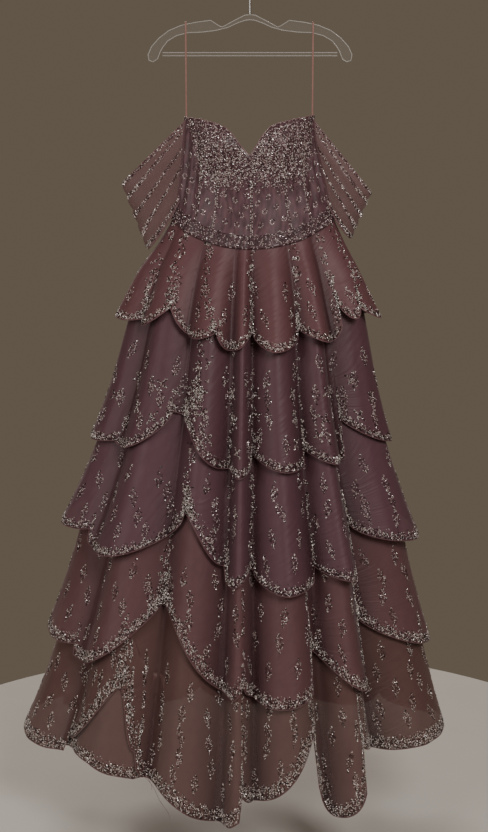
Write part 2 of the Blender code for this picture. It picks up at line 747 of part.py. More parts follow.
def face_outward():
    """Turn every face of every object outward."""
    for made in bpy.data.objects:
        shape = bmesh.new()
        shape.from_mesh(made.data)
        bmesh.ops.recalc_face_normals(shape, faces=shape.faces)
        shape.to_mesh(made.data)
        shape.free()


def main():
    for made in list(bpy.data.objects):
        bpy.data.objects.remove(made)
    organza = material("organza", (0.36, 0.17, 0.18), 0.55)
    lining = material("lining", (0.42, 0.22, 0.22), 0.50)
    beaded = material("beaded_cloth", (0.45, 0.27, 0.27), 0.35, 0.2)
    ribbon = material("satin_ribbon", (0.50, 0.26, 0.22), 0.40)
    clear = material("clear_plastic", (0.75, 0.75, 0.74), 0.08, 0.0, 0.35)
    metal = material("hook_metal", (0.45, 0.45, 0.47), 0.25, 1.0)
    skirt_rings = add_skirt(organza)[0]
    bodice_rows = add_bodice(beaded)
    add_belt(bodice_rows, skirt_rings, beaded)
    add_underskirt(lining)
    for sleeve in SLEEVES:
        add_sleeve(sleeve, organza)
    add_ribbon("ribbon_left", RIBBON_LEFT_X, ribbon)
    add_ribbon("ribbon_right", RIBBON_RIGHT_X, ribbon)
    add_hanger(clear, metal)
    face_outward()


main()
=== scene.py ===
import math
from collections import namedtuple

import bpy
import numpy as np
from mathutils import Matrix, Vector


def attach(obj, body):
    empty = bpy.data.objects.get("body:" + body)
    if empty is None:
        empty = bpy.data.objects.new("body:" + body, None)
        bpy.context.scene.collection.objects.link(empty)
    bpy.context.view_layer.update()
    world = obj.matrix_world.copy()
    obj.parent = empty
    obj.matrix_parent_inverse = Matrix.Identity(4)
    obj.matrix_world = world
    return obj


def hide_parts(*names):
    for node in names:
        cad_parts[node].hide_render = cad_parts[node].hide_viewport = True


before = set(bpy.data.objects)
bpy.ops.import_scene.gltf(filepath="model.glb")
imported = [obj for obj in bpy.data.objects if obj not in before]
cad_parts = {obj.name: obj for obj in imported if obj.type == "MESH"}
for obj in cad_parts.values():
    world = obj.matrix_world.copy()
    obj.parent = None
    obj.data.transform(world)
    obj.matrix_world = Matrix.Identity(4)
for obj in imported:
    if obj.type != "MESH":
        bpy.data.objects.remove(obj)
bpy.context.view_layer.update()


def table(columns, *rows):
    """Rows of values as tuples with named columns."""
    row = namedtuple("Row", columns)
    return [row(*values) for values in rows]


# The measures of the solids, in metres, repeated here because this file stands alone.
WALL = 0.002
SEAM = 0.0003
BELT_HEIGHT = 0.027
BELT_WALL = 0.003
WAIST_SIDE = -0.477
WAIST_DIP_FRONT = 0.057
WAIST_DIP_BACK = 0.026
HOOK_WIRE = 0.0026
HOOK_RADIUS = 0.023
HANGER_TOP = -0.085
HANGER_THICK = 0.006
RIBBON_LEFT_X = -0.1288
RIBBON_RIGHT_X = 0.1265
RIBBON_WIDTH = 0.0034

# Outline of the body and the skirt: half widths to -X and +X, depths forward and back,
# and how deep the skirt's folds are at that height.
BODY = table(
    "z left right front back fold",
    (-0.280, 0.132, 0.130, 0.056, 0.052, 0.000),
    (-0.335, 0.134, 0.134, 0.070, 0.055, 0.000),
    (-0.400, 0.139, 0.147, 0.070, 0.058, 0.000),
    (-0.440, 0.145, 0.157, 0.068, 0.060, 0.000),
    (-0.476, 0.152, 0.167, 0.070, 0.062, 0.001),
    (-0.540, 0.181, 0.192, 0.078, 0.067, 0.007),
    (-0.600, 0.214, 0.216, 0.100, 0.075, 0.020),
    (-0.720, 0.246, 0.242, 0.135, 0.087, 0.032),
    (-0.840, 0.270, 0.260, 0.160, 0.096, 0.036),
    (-0.970, 0.300, 0.284, 0.183, 0.104, 0.040),
    (-1.190, 0.348, 0.330, 0.217, 0.117, 0.044),
    (-1.430, 0.390, 0.371, 0.250, 0.130, 0.047),
    (-1.740, 0.438, 0.412, 0.285, 0.145, 0.048),
)

# Folds round the skirt, each an arch between two valleys: where it starts and ends,
# the number of facets across it and how deep its valleys are against the fold depth.
FOLDS = table(
    "start end facets rise",
    (-106.0, -62.0, 11, 0.9),
    (-62.0, -31.0, 9, 0.75),
    (-31.0, -8.0, 6, 1.0),
    (-8.0, 1.0, 3, 0.85),
    (1.0, 24.0, 7, 1.0),
    (24.0, 42.0, 5, 0.95),
    (42.0, 98.0, 14, 1.0),
    (98.0, 131.0, 6, 0.8),
    (131.0, 164.0, 6, 0.8),
    (164.0, 196.0, 6, 0.8),
    (196.0, 226.0, 5, 0.8),
    (226.0, 254.0, 5, 0.8),
)
VALLEY_SOFTNESS = 0.05

# Tiers of the skirt: where the cloth is sewn on (side and front), where its hem would
# lie without scallops, and how far the hem stands out to -X, +X and forward.
TIERS = table(
    "name top_side top_front hem_side hem_front out_left out_right out_front",
    ("tier_1", None, None, -0.690, -0.735, 0.041, 0.044, 0.030),
    ("tier_2", -0.585, -0.612, -0.940, -0.975, 0.042, 0.027, 0.026),
    ("tier_3", -0.775, -0.805, -1.125, -1.215, 0.068, 0.045, 0.034),
    ("tier_4", -0.985, -1.015, -1.355, -1.440, 0.056, 0.034, 0.034),
    ("tier_5", -1.170, -1.205, -1.595, -1.680, 0.084, 0.050, 0.040),
)

# Scalloped hems: one row for each notch, with its angle, its height, and the petal that
# follows it: how far across its lowest point lies, the height of that point, the height
# where the petal ends, and how round (under 1) or straight (over 1) its sides are.
PETAL = "angle z low_at low_z end_z sides"
HEMS = {
    "tier_1": table(
        PETAL,
        (-106.0, -0.668, 0.75, -0.694, -0.690, 1.2),
        (-62.0, -0.692, 0.10, -0.701, -0.662, 0.9),
        (-41.3, -0.662, 0.60, -0.720, -0.708, 1.0),
        (-15.7, -0.704, 0.40, -0.743, -0.708, 0.8),
        (1.0, -0.708, 0.45, -0.743, -0.716, 0.6),
        (24.0, -0.704, 0.65, -0.729, -0.694, 0.9),
        (50.0, -0.660, 0.60, -0.687, -0.668, 0.8),
        (62.0, -0.666, 0.50, -0.691, -0.668, 0.8),
        (98.0, -0.668, 0.50, -0.695, -0.670, 0.8),
        (131.0, -0.670, 0.50, -0.697, -0.672, 0.8),
        (164.0, -0.672, 0.50, -0.700, -0.672, 0.8),
        (196.0, -0.672, 0.50, -0.697, -0.670, 0.8),
        (226.0, -0.670, 0.50, -0.695, -0.668, 0.8),
    ),
    "tier_2": table(
        PETAL,
        (-106.0, -0.910, 0.65, -0.945, -0.941, 0.8),
        (-66.0, -0.943, 0.15, -0.950, -0.870, 0.6),
        (-34.4, -0.870, 0.95, -0.978, -0.977, 2.0),
        (-8.0, -0.978, 0.45, -0.990, -0.972, 0.8),
        (1.0, -0.944, 0.65, -0.980, -0.976, 0.6),
        (24.0, -0.944, 0.75, -0.973, -0.964, 0.8),
        (46.0, -0.890, 0.60, -0.946, -0.910, 0.8),
        (98.0, -0.910, 0.50, -0.945, -0.910, 0.8),
        (131.0, -0.905, 0.50, -0.948, -0.905, 0.8),
        (164.0, -0.905, 0.50, -0.950, -0.905, 0.8),
        (196.0, -0.905, 0.50, -0.948, -0.905, 0.8),
        (226.0, -0.905, 0.50, -0.945, -0.910, 0.8),
    ),
    "tier_3": table(
        PETAL,
        (-106.0, -1.085, 0.80, -1.128, -1.124, 1.3),
        (-66.0, -1.145, 0.20, -1.163, -1.065, 0.55),
        (-23.3, -1.065, 0.97, -1.172, -1.171, 1.7),
        (-8.0, -1.204, 0.10, -1.208, -1.166, 0.8),
        (1.0, -1.180, 0.50, -1.221, -1.204, 0.5),
        (24.0, -1.178, 0.75, -1.201, -1.196, 0.8),
        (42.0, -1.096, 0.60, -1.149, -1.090, 0.5),
        (98.0, -1.090, 0.50, -1.135, -1.090, 0.8),
        (131.0, -1.085, 0.50, -1.140, -1.085, 0.8),
        (164.0, -1.085, 0.50, -1.145, -1.085, 0.8),
        (196.0, -1.085, 0.50, -1.140, -1.085, 0.8),
        (226.0, -1.085, 0.50, -1.135, -1.085, 0.8),
    ),
    "tier_4": table(
        PETAL,
        (-106.0, -1.300, 0.85, -1.373, -1.371, 1.3),
        (-66.0, -1.392, 0.12, -1.399, -1.262, 0.9),
        (-31.0, -1.262, 0.90, -1.431, -1.412, 1.8),
        (-2.0, -1.405, 0.35, -1.450, -1.425, 0.6),
        (20.7, -1.345, 0.95, -1.436, -1.434, 1.1),
        (42.0, -1.300, 0.65, -1.376, -1.300, 0.8),
        (98.0, -1.300, 0.50, -1.350, -1.300, 0.8),
        (131.0, -1.295, 0.50, -1.355, -1.295, 0.8),
        (164.0, -1.295, 0.50, -1.360, -1.295, 0.8),
        (196.0, -1.295, 0.50, -1.355, -1.295, 0.8),
        (226.0, -1.295, 0.50, -1.350, -1.300, 0.8),
    ),
    "tier_5": table(
        PETAL,
        (-106.0, -1.552, 0.85, -1.598, -1.597, 1.6),
        (-62.0, -1.562, 0.03, -1.563, -1.430, 1.2),
        (-41.3, -1.430, 0.97, -1.560, -1.559, 1.8),
        (-34.4, -1.560, 0.97, -1.614, -1.614, 0.6),
        (-31.0, -1.614, 0.85, -1.692, -1.674, 2.0),
        (-2.0, -1.630, 0.12, -1.649, -1.512, 0.9),
        (20.7, -1.625, 0.35, -1.689, -1.612, 0.6),
        (34.8, -1.548, 0.27, -1.580, -1.545, 0.9),
        (98.0, -1.545, 0.50, -1.605, -1.560, 0.8),
        (131.0, -1.555, 0.50, -1.612, -1.555, 0.8),
        (164.0, -1.555, 0.50, -1.616, -1.555, 0.8),
        (196.0, -1.555, 0.50, -1.612, -1.555, 0.8),
        (226.0, -1.555, 0.50, -1.605, -1.552, 0.8),
    ),
}

# Under petal that shows in the lowest tier's left notch: its hem, from -X round to the
# front, how far its hem hangs clear of the tier in front of it, and how many degrees its
# cloth runs on behind the tier.
UNDER_PETAL = table(
    "angle z",
    (-62.0, -1.590), (-54.0, -1.588), (-48.0, -1.594), (-41.3, -1.610), (-34.4, -1.620), (-27.1, -1.608),
)
UNDER_PETAL_CLEAR = 0.012
UNDER_PETAL_TUCK = 4.0

# Sweetheart neckline: how far across the front (-1 to 1) and the height of its edge.
NECKLINE = table(
    "across z",
    (-1.00, -0.287), (-0.75, -0.291), (-0.47, -0.301), (-0.35, -0.309), (-0.24, -0.324), (-0.15, -0.341),
    (0.00, -0.362), (0.18, -0.324), (0.31, -0.305), (0.45, -0.298), (0.76, -0.289), (1.00, -0.283),
)
BACK_NECK_DROP = 0.100

# Bust cups: where they are fullest and how far they stand out.
CUP_ACROSS = 0.066
CUP_Z = -0.338
CUP_SIZE = 0.048
CUP_OUT = 0.016

# Lining skirt: its hem in front, how much higher that is at the sides, and its clearances.
UNDERSKIRT_HEM = -1.398
UNDERSKIRT_RISE = 0.03
UNDERSKIRT_CLEAR = 0.012
UNDERSKIRT_SEAT = 0.0005

# Off-the-shoulder sleeve bands: corners of the flattened loop, outside and inside.
SLEEVES = table(
    "name side top_x top_z bottom_x bottom_z start_z end_z",
    ("sleeve_left", -1, 0.262, -0.418, 0.211, -0.554, -0.292, -0.454),
    ("sleeve_right", 1, 0.249, -0.436, 0.208, -0.532, -0.291, -0.454),
)
SLEEVE_STEPS = 5
SLEEVE_SAG = 0.010

# Half outline of the hanger's arm, from the middle of its top edge round to the middle
# of its underside: distance from the middle and height.
HANGER_ARM = table(
    "x z",
    (0.000, -0.085), (0.010, -0.086), (0.030, -0.096), (0.055, -0.109), (0.062, -0.107), (0.079, -0.096),
    (0.110, -0.100), (0.138, -0.106), (0.162, -0.116), (0.182, -0.131), (0.197, -0.148), (0.204, -0.164),
    (0.202, -0.176), (0.195, -0.179), (0.187, -0.173), (0.181, -0.158), (0.176, -0.150), (0.166, -0.138),
    (0.148, -0.128), (0.125, -0.122), (0.095, -0.121), (0.070, -0.118), (0.045, -0.112), (0.025, -0.103),
    (0.010, -0.098), (0.000, -0.097),
)
BAR_HALF = 0.1765
BAR_Z = -0.163
HOOK_NECK = 0.012
HOOK_START = -62.0
HOOK_SWEEP = 250.0

# The moulded rim that this file runs along the hanger's arms and the bar's two edges.
RIM_RADIUS = 0.0007
RIM_SHIFT = 0.0011
BAR_EDGE = 0.0032

# What else only this file adds: the cloth's shown thickness, the fine columns to each facet of a
# fold, the fine rows of a tier above and below the next tier's seam, the bodice's boning,
# and the radius of each kind of sewn edge.
CLOTH = 0.0008
FINER = 4
ROWS_ABOVE = 8
ROWS_BELOW = 16
BONES = (-44.8, -27.2, 1.0, 27.6, 46.0)
BONE_RIDGE = 0.0007
BONE_WIDTH = 0.9
SIDE_FOLD = 0.0038
HEM_ROLL = 0.0007
SLEEVE_ROLL = 0.0008
NECK_ROLL = 0.0011
SEAM_RIDGE = 0.0004
LOOSE_THREAD = 0.00035


def smooth(rows, at, field):
    """Value of a column at a height, on a curve through the rows of the table."""
    if at >= rows[0].z:
        return getattr(rows[0], field)
    if at <= rows[-1].z:
        return getattr(rows[-1], field)
    k = 0
    while rows[k + 1].z > at:
        k += 1

    def slope(i):
        low = max(0, i - 1)
        high = min(len(rows) - 1, i + 1)
        return (getattr(rows[high], field) - getattr(rows[low], field)) / (rows[high].z - rows[low].z)

    span = rows[k + 1].z - rows[k].z
    t = (at - rows[k].z) / span
    first = getattr(rows[k], field)
    second = getattr(rows[k + 1], field)
    return (
        first * (2 * t ** 3 - 3 * t ** 2 + 1)
        + slope(k) * span * (t ** 3 - 2 * t ** 2 + t)
        + second * (3 * t ** 2 - 2 * t ** 3)
        + slope(k + 1) * span * (t ** 3 - t ** 2)
    )


def section(angle):
    """Sine and cosine of an angle round the body, given in degrees."""
    turn = math.radians(angle)
    return math.sin(turn), math.cos(turn)


def fold_columns(finer):
    """Angles round the body where the walls have an edge, from the first fold's start."""
    angles = []
    for fold in FOLDS:
        count = fold.facets * finer
        step = (fold.end - fold.start) / count
        angles += [fold.start + step * i for i in range(count)]
    return angles


COLUMNS = fold_columns(1)
FINE = np.array(fold_columns(FINER))
ONCE_ROUND = np.append(FINE, FOLDS[0].start + 360.0)
NOTCHES = {
    name: [min(COLUMNS, key=lambda column: abs(column - petal.angle)) for petal in petals]
    for name, petals in HEMS.items()
}


def wrap(angle):
    """The same direction, between the first fold's start and one turn further."""
    return (angle - FOLDS[0].start) % 360.0 + FOLDS[0].start


def valley(angle):
    """0 on the crest of a fold, up to 1 in the valley between two folds."""
    angle = wrap(angle)
    i = next((n for n, fold in enumerate(FOLDS) if angle < fold.end), len(FOLDS) - 1)
    fold = FOLDS[i]
    t = (angle - fold.start) / (fold.end - fold.start)
    soft = math.sqrt(VALLEY_SOFTNESS)
    arch = math.sqrt(math.sin(math.pi * t) ** 2 + VALLEY_SOFTNESS) - soft
    arch /= math.sqrt(1.0 + VALLEY_SOFTNESS) - soft
    other = FOLDS[i - 1] if t < 0.5 else FOLDS[(i + 1) % len(FOLDS)]
    side = abs(t - 0.5)
    rise = fold.rise * (1.0 - side) + 0.5 * (fold.rise + other.rise) * side
    return rise * (1.0 - arch)


def half_sizes(s, c, z):
    """Half width and depth of the plain outline on the side that a direction faces."""
    return smooth(BODY, z, "left" if s < 0 else "right"), smooth(BODY, z, "front" if c > 0 else "back")


def outward(angle, z):
    """Direction away from the body's axis, square to the plain outline."""
    s, c = section(angle)
    a, b = half_sizes(s, c, z)
    return Vector((s / a, -c / b, 0.0)).normalized()


def body_point(angle, z):
    """Point of the body's or the skirt's base surface, with its folds."""
    s, c = section(angle)
    a, b = half_sizes(s, c, z)
    return Vector((a * s, -b * c, z)) - outward(angle, z) * smooth(BODY, z, "fold") * valley(angle)


def cup(x, z):
    """How far the bust stands out of the bodice's front."""
    total = 0.0
    for side in (-1, 1):
        far = ((x - side * CUP_ACROSS) ** 2 + (z - CUP_Z) ** 2) / CUP_SIZE ** 2
        total += CUP_OUT * math.exp(-far * 1.6)
    return total


def bodice_point(angle, z):
    """Point of the bodice, with its cups in front."""
    point = body_point(angle, z)
    c = section(angle)[1]
    if c > 0:
        point.y -= cup(point.x, z) * min(1.0, 2.0 * c)
    return point


def neck_height(angle):
    """Height of the bodice's top edge."""
    s, c = section(angle)
    if c < 0:
        return NECKLINE[0].z - BACK_NECK_DROP * abs(c) ** 0.6
    places = [edge.across for edge in NECKLINE]
    heights = [edge.z for edge in NECKLINE]
    spread = min(0.03, abs(s) * 0.6)
    nearby = [min(1.0, max(-1.0, s + spread * share)) for share in (-1.0, -0.5, 0.0, 0.5, 1.0)]
    return float(np.mean(np.interp(nearby, places, heights)))


def waist_height(angle):
    """Height of the waist seam, which dips in front."""
    c = section(angle)[1]
    return WAIST_SIDE - (WAIST_DIP_FRONT if c > 0 else WAIST_DIP_BACK) * c * c


def tier_top(k, angle):
    """Height where a tier is sewn on."""
    tier = TIERS[k]
    if tier.top_side is None:
        return waist_height(angle) - SEAM
    c = section(angle)[1]
    return tier.top_side + (tier.top_front - tier.top_side) * c * c * (1.0 if c > 0 else 0.3)


def tier_plain_hem(k, angle):
    """Height of a tier's hem if it had no scallops."""
    tier = TIERS[k]
    c = section(angle)[1]
    return tier.hem_side + (tier.hem_front - tier.hem_side) * c * c * (1.0 if c > 0 else 0.1)


def tier_hem(k, angle):
    """Height of a tier's scalloped hem."""
    petals = HEMS[TIERS[k].name]
    notches = NOTCHES[TIERS[k].name]
    angle = wrap(angle)
    i = max(n for n in range(len(petals)) if notches[n] <= angle + 1e-6)
    petal = petals[i]
    end = notches[i + 1] if i + 1 < len(petals) else FOLDS[-1].end
    t = min(1.0, max(0.0, (angle - notches[i]) / (end - notches[i])))
    if t < petal.low_at:
        return petal.z + (petal.low_z - petal.z) * math.sin(math.pi / 2 * t / petal.low_at) ** petal.sides
    t = (1.0 - t) / (1.0 - petal.low_at)
    return petal.end_z + (petal.low_z - petal.end_z) * math.sin(math.pi / 2 * t) ** petal.sides


def tier_out(k, angle, z):
    """How far a tier stands out from the base surface, and how far down it that is."""
    tier = TIERS[k]
    s, c = section(angle)
    top = tier_top(k, angle)
    down = max(0.0, (top - z) / (top - tier_plain_hem(k, angle)))
    out = (tier.out_left if s < 0 else tier.out_right) * s * s
    out += tier.out_front * c * c * (1.0 if c > 0 else 0.5)
    carried = tier_out(k - 1, angle, top)[0] if k else 0.0
    return carried * (1.0 - min(1.0, down)) ** 2 + out * down ** 1.6, down


def crease(angle, down, k):
    """Small uneven ripples of a tier, which grow towards its hem."""
    turn = math.radians(angle)
    waves = math.sin(19 * turn + 1.7 * k) + 0.7 * math.sin(31 * turn + 2.9 * k + 2.0 * down)
    waves += 0.5 * math.sin(47 * turn - 1.1 * k)
    return 0.0011 * waves * min(1.0, down) ** 1.5


def column_of(angle):
    """Fine column at an angle, with its fraction, counted once round."""
    return np.interp(wrap(np.asarray(angle, float)), ONCE_ROUND, np.arange(len(ONCE_ROUND)))


def columns_between(start, end):
    """Fine columns from one angle round to another."""
    first = int(round(column_of(start)))
    last = int(round(column_of(end)))
    if last <= first:
        last += len(FINE)
    return np.arange(first, last + 1) % len(FINE)


FRONT = columns_between(-90.0, 90.0)
BACK = columns_between(90.0, 270.0)
HALVES = (("front", FRONT), ("back", BACK))


class Cloth:
    """A grid of surface points with its normals; rows run down, columns run round.

    The normals point away from a middle, as far as the axes that away weighs can tell.
    """

    def __init__(self, points, closed=True, middle=(0.0, 0.0, 0.0), away=(1.0, 1.0, 0.0)):
        self.points = np.array(points, float)
        self.closed = closed
        if closed:
            around = np.roll(self.points, -1, 1) - np.roll(self.points, 1, 1)
        else:
            around = np.gradient(self.points, axis=1) * 2
        down = np.gradient(self.points, axis=0)
        self.normals = np.cross(down, around)
        self.normals /= np.maximum(np.linalg.norm(self.normals, axis=2, keepdims=True), 1e-12)
        if (self.normals * (self.points - np.array(middle)) * np.array(away)).sum() < 0:
            self.normals = -self.normals
        self.across = np.maximum(np.linalg.norm(around, axis=2) / 2, 1e-5)
        self.along = np.maximum(np.linalg.norm(down, axis=2), 1e-5)
        level = np.maximum(np.linalg.norm(around[:, :, :2], axis=2) / 2, 1e-5)
        self.steep = np.minimum(self.across / level, 3.0)
        self.hem = self.points.shape[0] - 1.0
        self.columns = np.arange(self.points.shape[1])
        self.high = float(np.mean(self.along[1:].sum(0)))

    def read(self, grid, column, row):
        """Value of a grid between its columns and rows."""
        rows, columns = grid.shape[:2]
        row = np.clip(row, 0, rows - 1.001)
        if self.closed:
            column = np.mod(column, columns)
        else:
            column = np.clip(column, 0, columns - 1.001)
        i = np.floor(column).astype(int) % columns
        j = np.floor(row).astype(int)
        i2 = (i + 1) % columns
        s = column - np.floor(column)
        t = row - j
        if grid.ndim == 3:
            s = s[..., None]
            t = t[..., None]
        upper = grid[j, i] * (1 - s) + grid[j, i2] * s
        lower = grid[j + 1, i] * (1 - s) + grid[j + 1, i2] * s
        return upper * (1 - t) + lower * t

    def step(self, column, row, side, drop):
        """Columns and rows after a walk sideways and down, in metres."""
        wide = self.read(self.across, column, row)
        high = self.read(self.along, column, row)
        return column + side / wide, row + drop / high

    def walk(self, row, spacing, shift=0.0):
        """Columns at an even spacing along a row."""
        walked = np.concatenate([[0.0], np.cumsum(self.across[int(row)])])
        if not self.closed:
            walked = walked[:-1]
        count = max(1, int(walked[-1] / spacing))
        at = (np.arange(count) + 0.5 + shift) * walked[-1] / count
        return np.interp(np.mod(at, walked[-1]), walked, np.arange(len(walked)))

    def above_hem(self, column, rise):
        """Rows at some distances above the hem, more where the hem is steep."""
        hem = np.full(len(column), self.hem)
        return hem - rise * self.read(self.steep, column, hem) / self.read(self.along, column, hem)

    def place(self, column, row, lift):
        """Points above the outer face of the cloth, and the directions they face."""
        facing = self.read(self.normals, column, row)
        facing = facing / np.linalg.norm(facing, axis=-1, keepdims=True)
        return self.read(self.points, column, row) + facing * (CLOTH / 2 + lift), facing


def ring_cloth(point, shares):
    """A closed ring of fine cloth, from its point at an angle and a share of the way down."""
    return Cloth([[tuple(point(angle, share)) for angle in FINE] for share in shares])


def tier_cloths():
    """The five tiers as closed rings of fine cloth."""
    cloths = []
    shift = np.zeros((len(FINE), 3))
    for k in range(len(TIERS)):
        tops = np.array([tier_top(k, a) for a in FINE])
        hems = np.array([tier_hem(k, a) for a in FINE])
        if k + 1 == len(TIERS):
            joints = (tops + hems) / 2
        else:
            joints = np.array([tier_top(k + 1, a) for a in FINE])
        above = np.linspace(0.0, 1.0, ROWS_ABOVE, endpoint=False)[:, None]
        below = np.linspace(0.0, 1.0, ROWS_BELOW + 1)[:, None]
        heights = np.concatenate([tops + (joints - tops) * above, joints + (hems - joints) * below])
        grid = np.zeros(heights.shape + (3,))
        downs = np.zeros(heights.shape)
        ripple = np.zeros(heights.shape + (3,))
        for i, angle in enumerate(FINE):
            for j, z in enumerate(heights[:, i]):
                out, down = tier_out(k, angle, z)
                away = outward(angle, z)
                grid[j, i] = body_point(angle, z) + away * out
                ripple[j, i] = away * crease(angle, down, k)
                downs[j, i] = down
        kept = np.maximum(0.0, 1.0 - downs)
        grid += shift[None] * kept[..., None]
        ring = grid[ROWS_ABOVE]
        along = np.roll(ring, -1, 0) - np.roll(ring, 1, 0)
        normal = np.stack([along[:, 1], -along[:, 0], np.zeros(len(FINE))], 1)
        normal /= np.linalg.norm(normal, axis=1, keepdims=True)
        shift = shift * kept[ROWS_ABOVE][:, None] - normal * (WALL + SEAM)
        cloths.append(Cloth(grid + ripple))
    return cloths


def bodice_cloth():
    """The bodice, with its boning and soft side folds."""
    def point(angle, share):
        top = neck_height(angle)
        low = waist_height(angle) + SEAM
        away = outward(angle, (top + low) / 2)
        nearby = [((angle - bone + 180.0) % 360.0 - 180.0) / BONE_WIDTH for bone in BONES]
        ridge = sum(math.exp(-far ** 2) for far in nearby)
        fold = SIDE_FOLD * abs(section(angle)[0]) ** 3 * math.sin(share * math.pi)
        fold *= math.sin(math.radians(angle) * 24.0 + 2.0 * share)
        out = BONE_RIDGE * ridge * min(1.0, 3.0 * share) + fold
        return bodice_point(angle, top + (low - top) * share) + away * out

    return ring_cloth(point, np.linspace(0.0, 1.0, 37))


def belt_cloth():
    """The belt, half above and half below the waist seam."""
    def point(angle, share):
        z = waist_height(angle) + BELT_HEIGHT * share
        away = outward(angle, z)
        carried = tier_out(0, angle, z)[0] if share < 0 else 0.0
        return bodice_point(angle, z) + away * carried + away * (WALL / 2 + SEAM + BELT_WALL / 2)

    return ring_cloth(point, np.linspace(0.5, -0.5, 9))


def underskirt_cloth():
    """The lining's flared tube with shallow waves."""
    def point(angle, share):
        s, c = section(angle)
        top = waist_height(angle) - SEAM - BELT_HEIGHT / 2
        z = top + (UNDERSKIRT_HEM + UNDERSKIRT_RISE * s * s - top) * share
        inward = WALL + SEAM + UNDERSKIRT_SEAT + smooth(BODY, z, "fold")
        inward += UNDERSKIRT_CLEAR * min(1.0, 8.0 * share)
        a, b = half_sizes(s, c, z)
        wave = 0.003 * share * math.sin(14 * math.radians(angle))
        return Vector(((a - inward) * s, -(b - inward) * c, z)) + outward(angle, z) * wave

    return ring_cloth(point, np.linspace(0.0, 1.0, 17))


def under_petal_cloth():
    """The under petal, behind the lowest tier and a little clear of its hem."""
    last = len(TIERS) - 1
    columns = columns_between(UNDER_PETAL[0].angle - UNDER_PETAL_TUCK, UNDER_PETAL[-1].angle)
    shares = np.linspace(0.0, 1.0, 21)
    grid = np.zeros((len(shares), len(columns), 3))
    for i, angle in enumerate(FINE[columns]):
        top = 0.5 * (tier_top(last, angle) + tier_hem(last, angle))
        hem = np.interp(angle, [hem.angle for hem in UNDER_PETAL], [hem.z for hem in UNDER_PETAL])
        for j, share in enumerate(shares):
            z = top + (hem - top) * share
            out = tier_out(last, angle, z)[0]
            inward = WALL + SEAM + UNDER_PETAL_CLEAR * share + 0.0010 * math.sin(0.6 * angle) * share
            grid[j, i] = body_point(angle, z) + outward(angle, z) * (out - inward)
    return Cloth(grid, False)


def sleeve_cloth(sleeve):
    """One sleeve band from its front seam round its outer fold to its back seam."""
    rows = 60
    across = 56
    grid = np.zeros((rows + 1, across + 1, 3))
    seat = WALL / 2 + 2 * SEAM
    for j in range(rows + 1):
        v = j / rows
        start_z = sleeve.start_z + (sleeve.end_z - sleeve.start_z) * v
        end_x = sleeve.top_x + (sleeve.bottom_x - sleeve.top_x) * v
        end_z = sleeve.top_z + (sleeve.bottom_z - sleeve.top_z) * v
        end_x += 0.0035 * (abs(math.sin(math.pi * SLEEVE_STEPS * v)) - 0.5)
        fore, aft = (
            bodice_point(sleeve.side * angle, start_z) + outward(sleeve.side * angle, start_z) * seat
            for angle in (74.0, 106.0)
        )
        for i in range(across + 1):
            turn = math.pi * i / across
            reach = math.sin(turn)
            root = fore.lerp(aft, i / across)
            x = root.x + (sleeve.side * end_x - root.x) * reach
            y = 0.5 * (fore.y + aft.y) + 0.5 * (fore.y - aft.y) * math.cos(turn)
            y -= 0.008 * math.sin(2.0 * turn)
            y -= 0.0012 * math.sin(2 * math.pi * SLEEVE_STEPS * v + 1.2 * reach) * reach * math.cos(turn)
            sag = SLEEVE_SAG * v * v * math.sin(math.pi * reach)
            grid[j, i] = (x, y, start_z + (end_z - start_z) * reach - sag)
    return Cloth(grid, False, (sleeve.side * 0.19, 0.0, 0.0), (0.3, 1.0, 0.0))


class Socket:
    """A node's output that can be used in plain arithmetic."""

    def __init__(self, owner, link):
        self.owner = owner
        self.link = link

    def maths(self, operation, first, second):
        return self.owner.node("ShaderNodeMath", {"operation": operation}, {0: first, 1: second})

    def __add__(self, other):
        return self.maths("ADD", self, other)

    def __radd__(self, other):
        return self.maths("ADD", other, self)

    def __sub__(self, other):
        return self.maths("SUBTRACT", self, other)

    def __rsub__(self, other):
        return self.maths("SUBTRACT", other, self)

    def __mul__(self, other):
        return self.maths("MULTIPLY", self, other)

    def __rmul__(self, other):
        return self.maths("MULTIPLY", other, self)


class Nodes:
    """A tree of nodes, built one node at a time."""

    def node(self, kind, settings=None, values=None, output=0):
        """Add a node, set it up, feed its sockets and give back one output."""
        made = self.tree.nodes.new(kind)
        for label, setting in (settings or {}).items():
            if label == "stops":
                self.stops(made.color_ramp, setting)
            else:
                setattr(made, label, setting)
        for socket, value in (values or {}).items():
            if isinstance(value, Socket):
                self.tree.links.new(value.link, made.inputs[socket])
            else:
                made.inputs[socket].default_value = value
        return Socket(self, made.outputs[output])

    def stops(self, ramp, stops):
        """Set the colours of a ramp from pairs of place and colour."""
        while len(ramp.elements) < len(stops):
            ramp.elements.new(1.0)
        for element, (place, colour) in zip(ramp.elements, stops):
            element.position = place
            element.color = (*colour, 1.0)


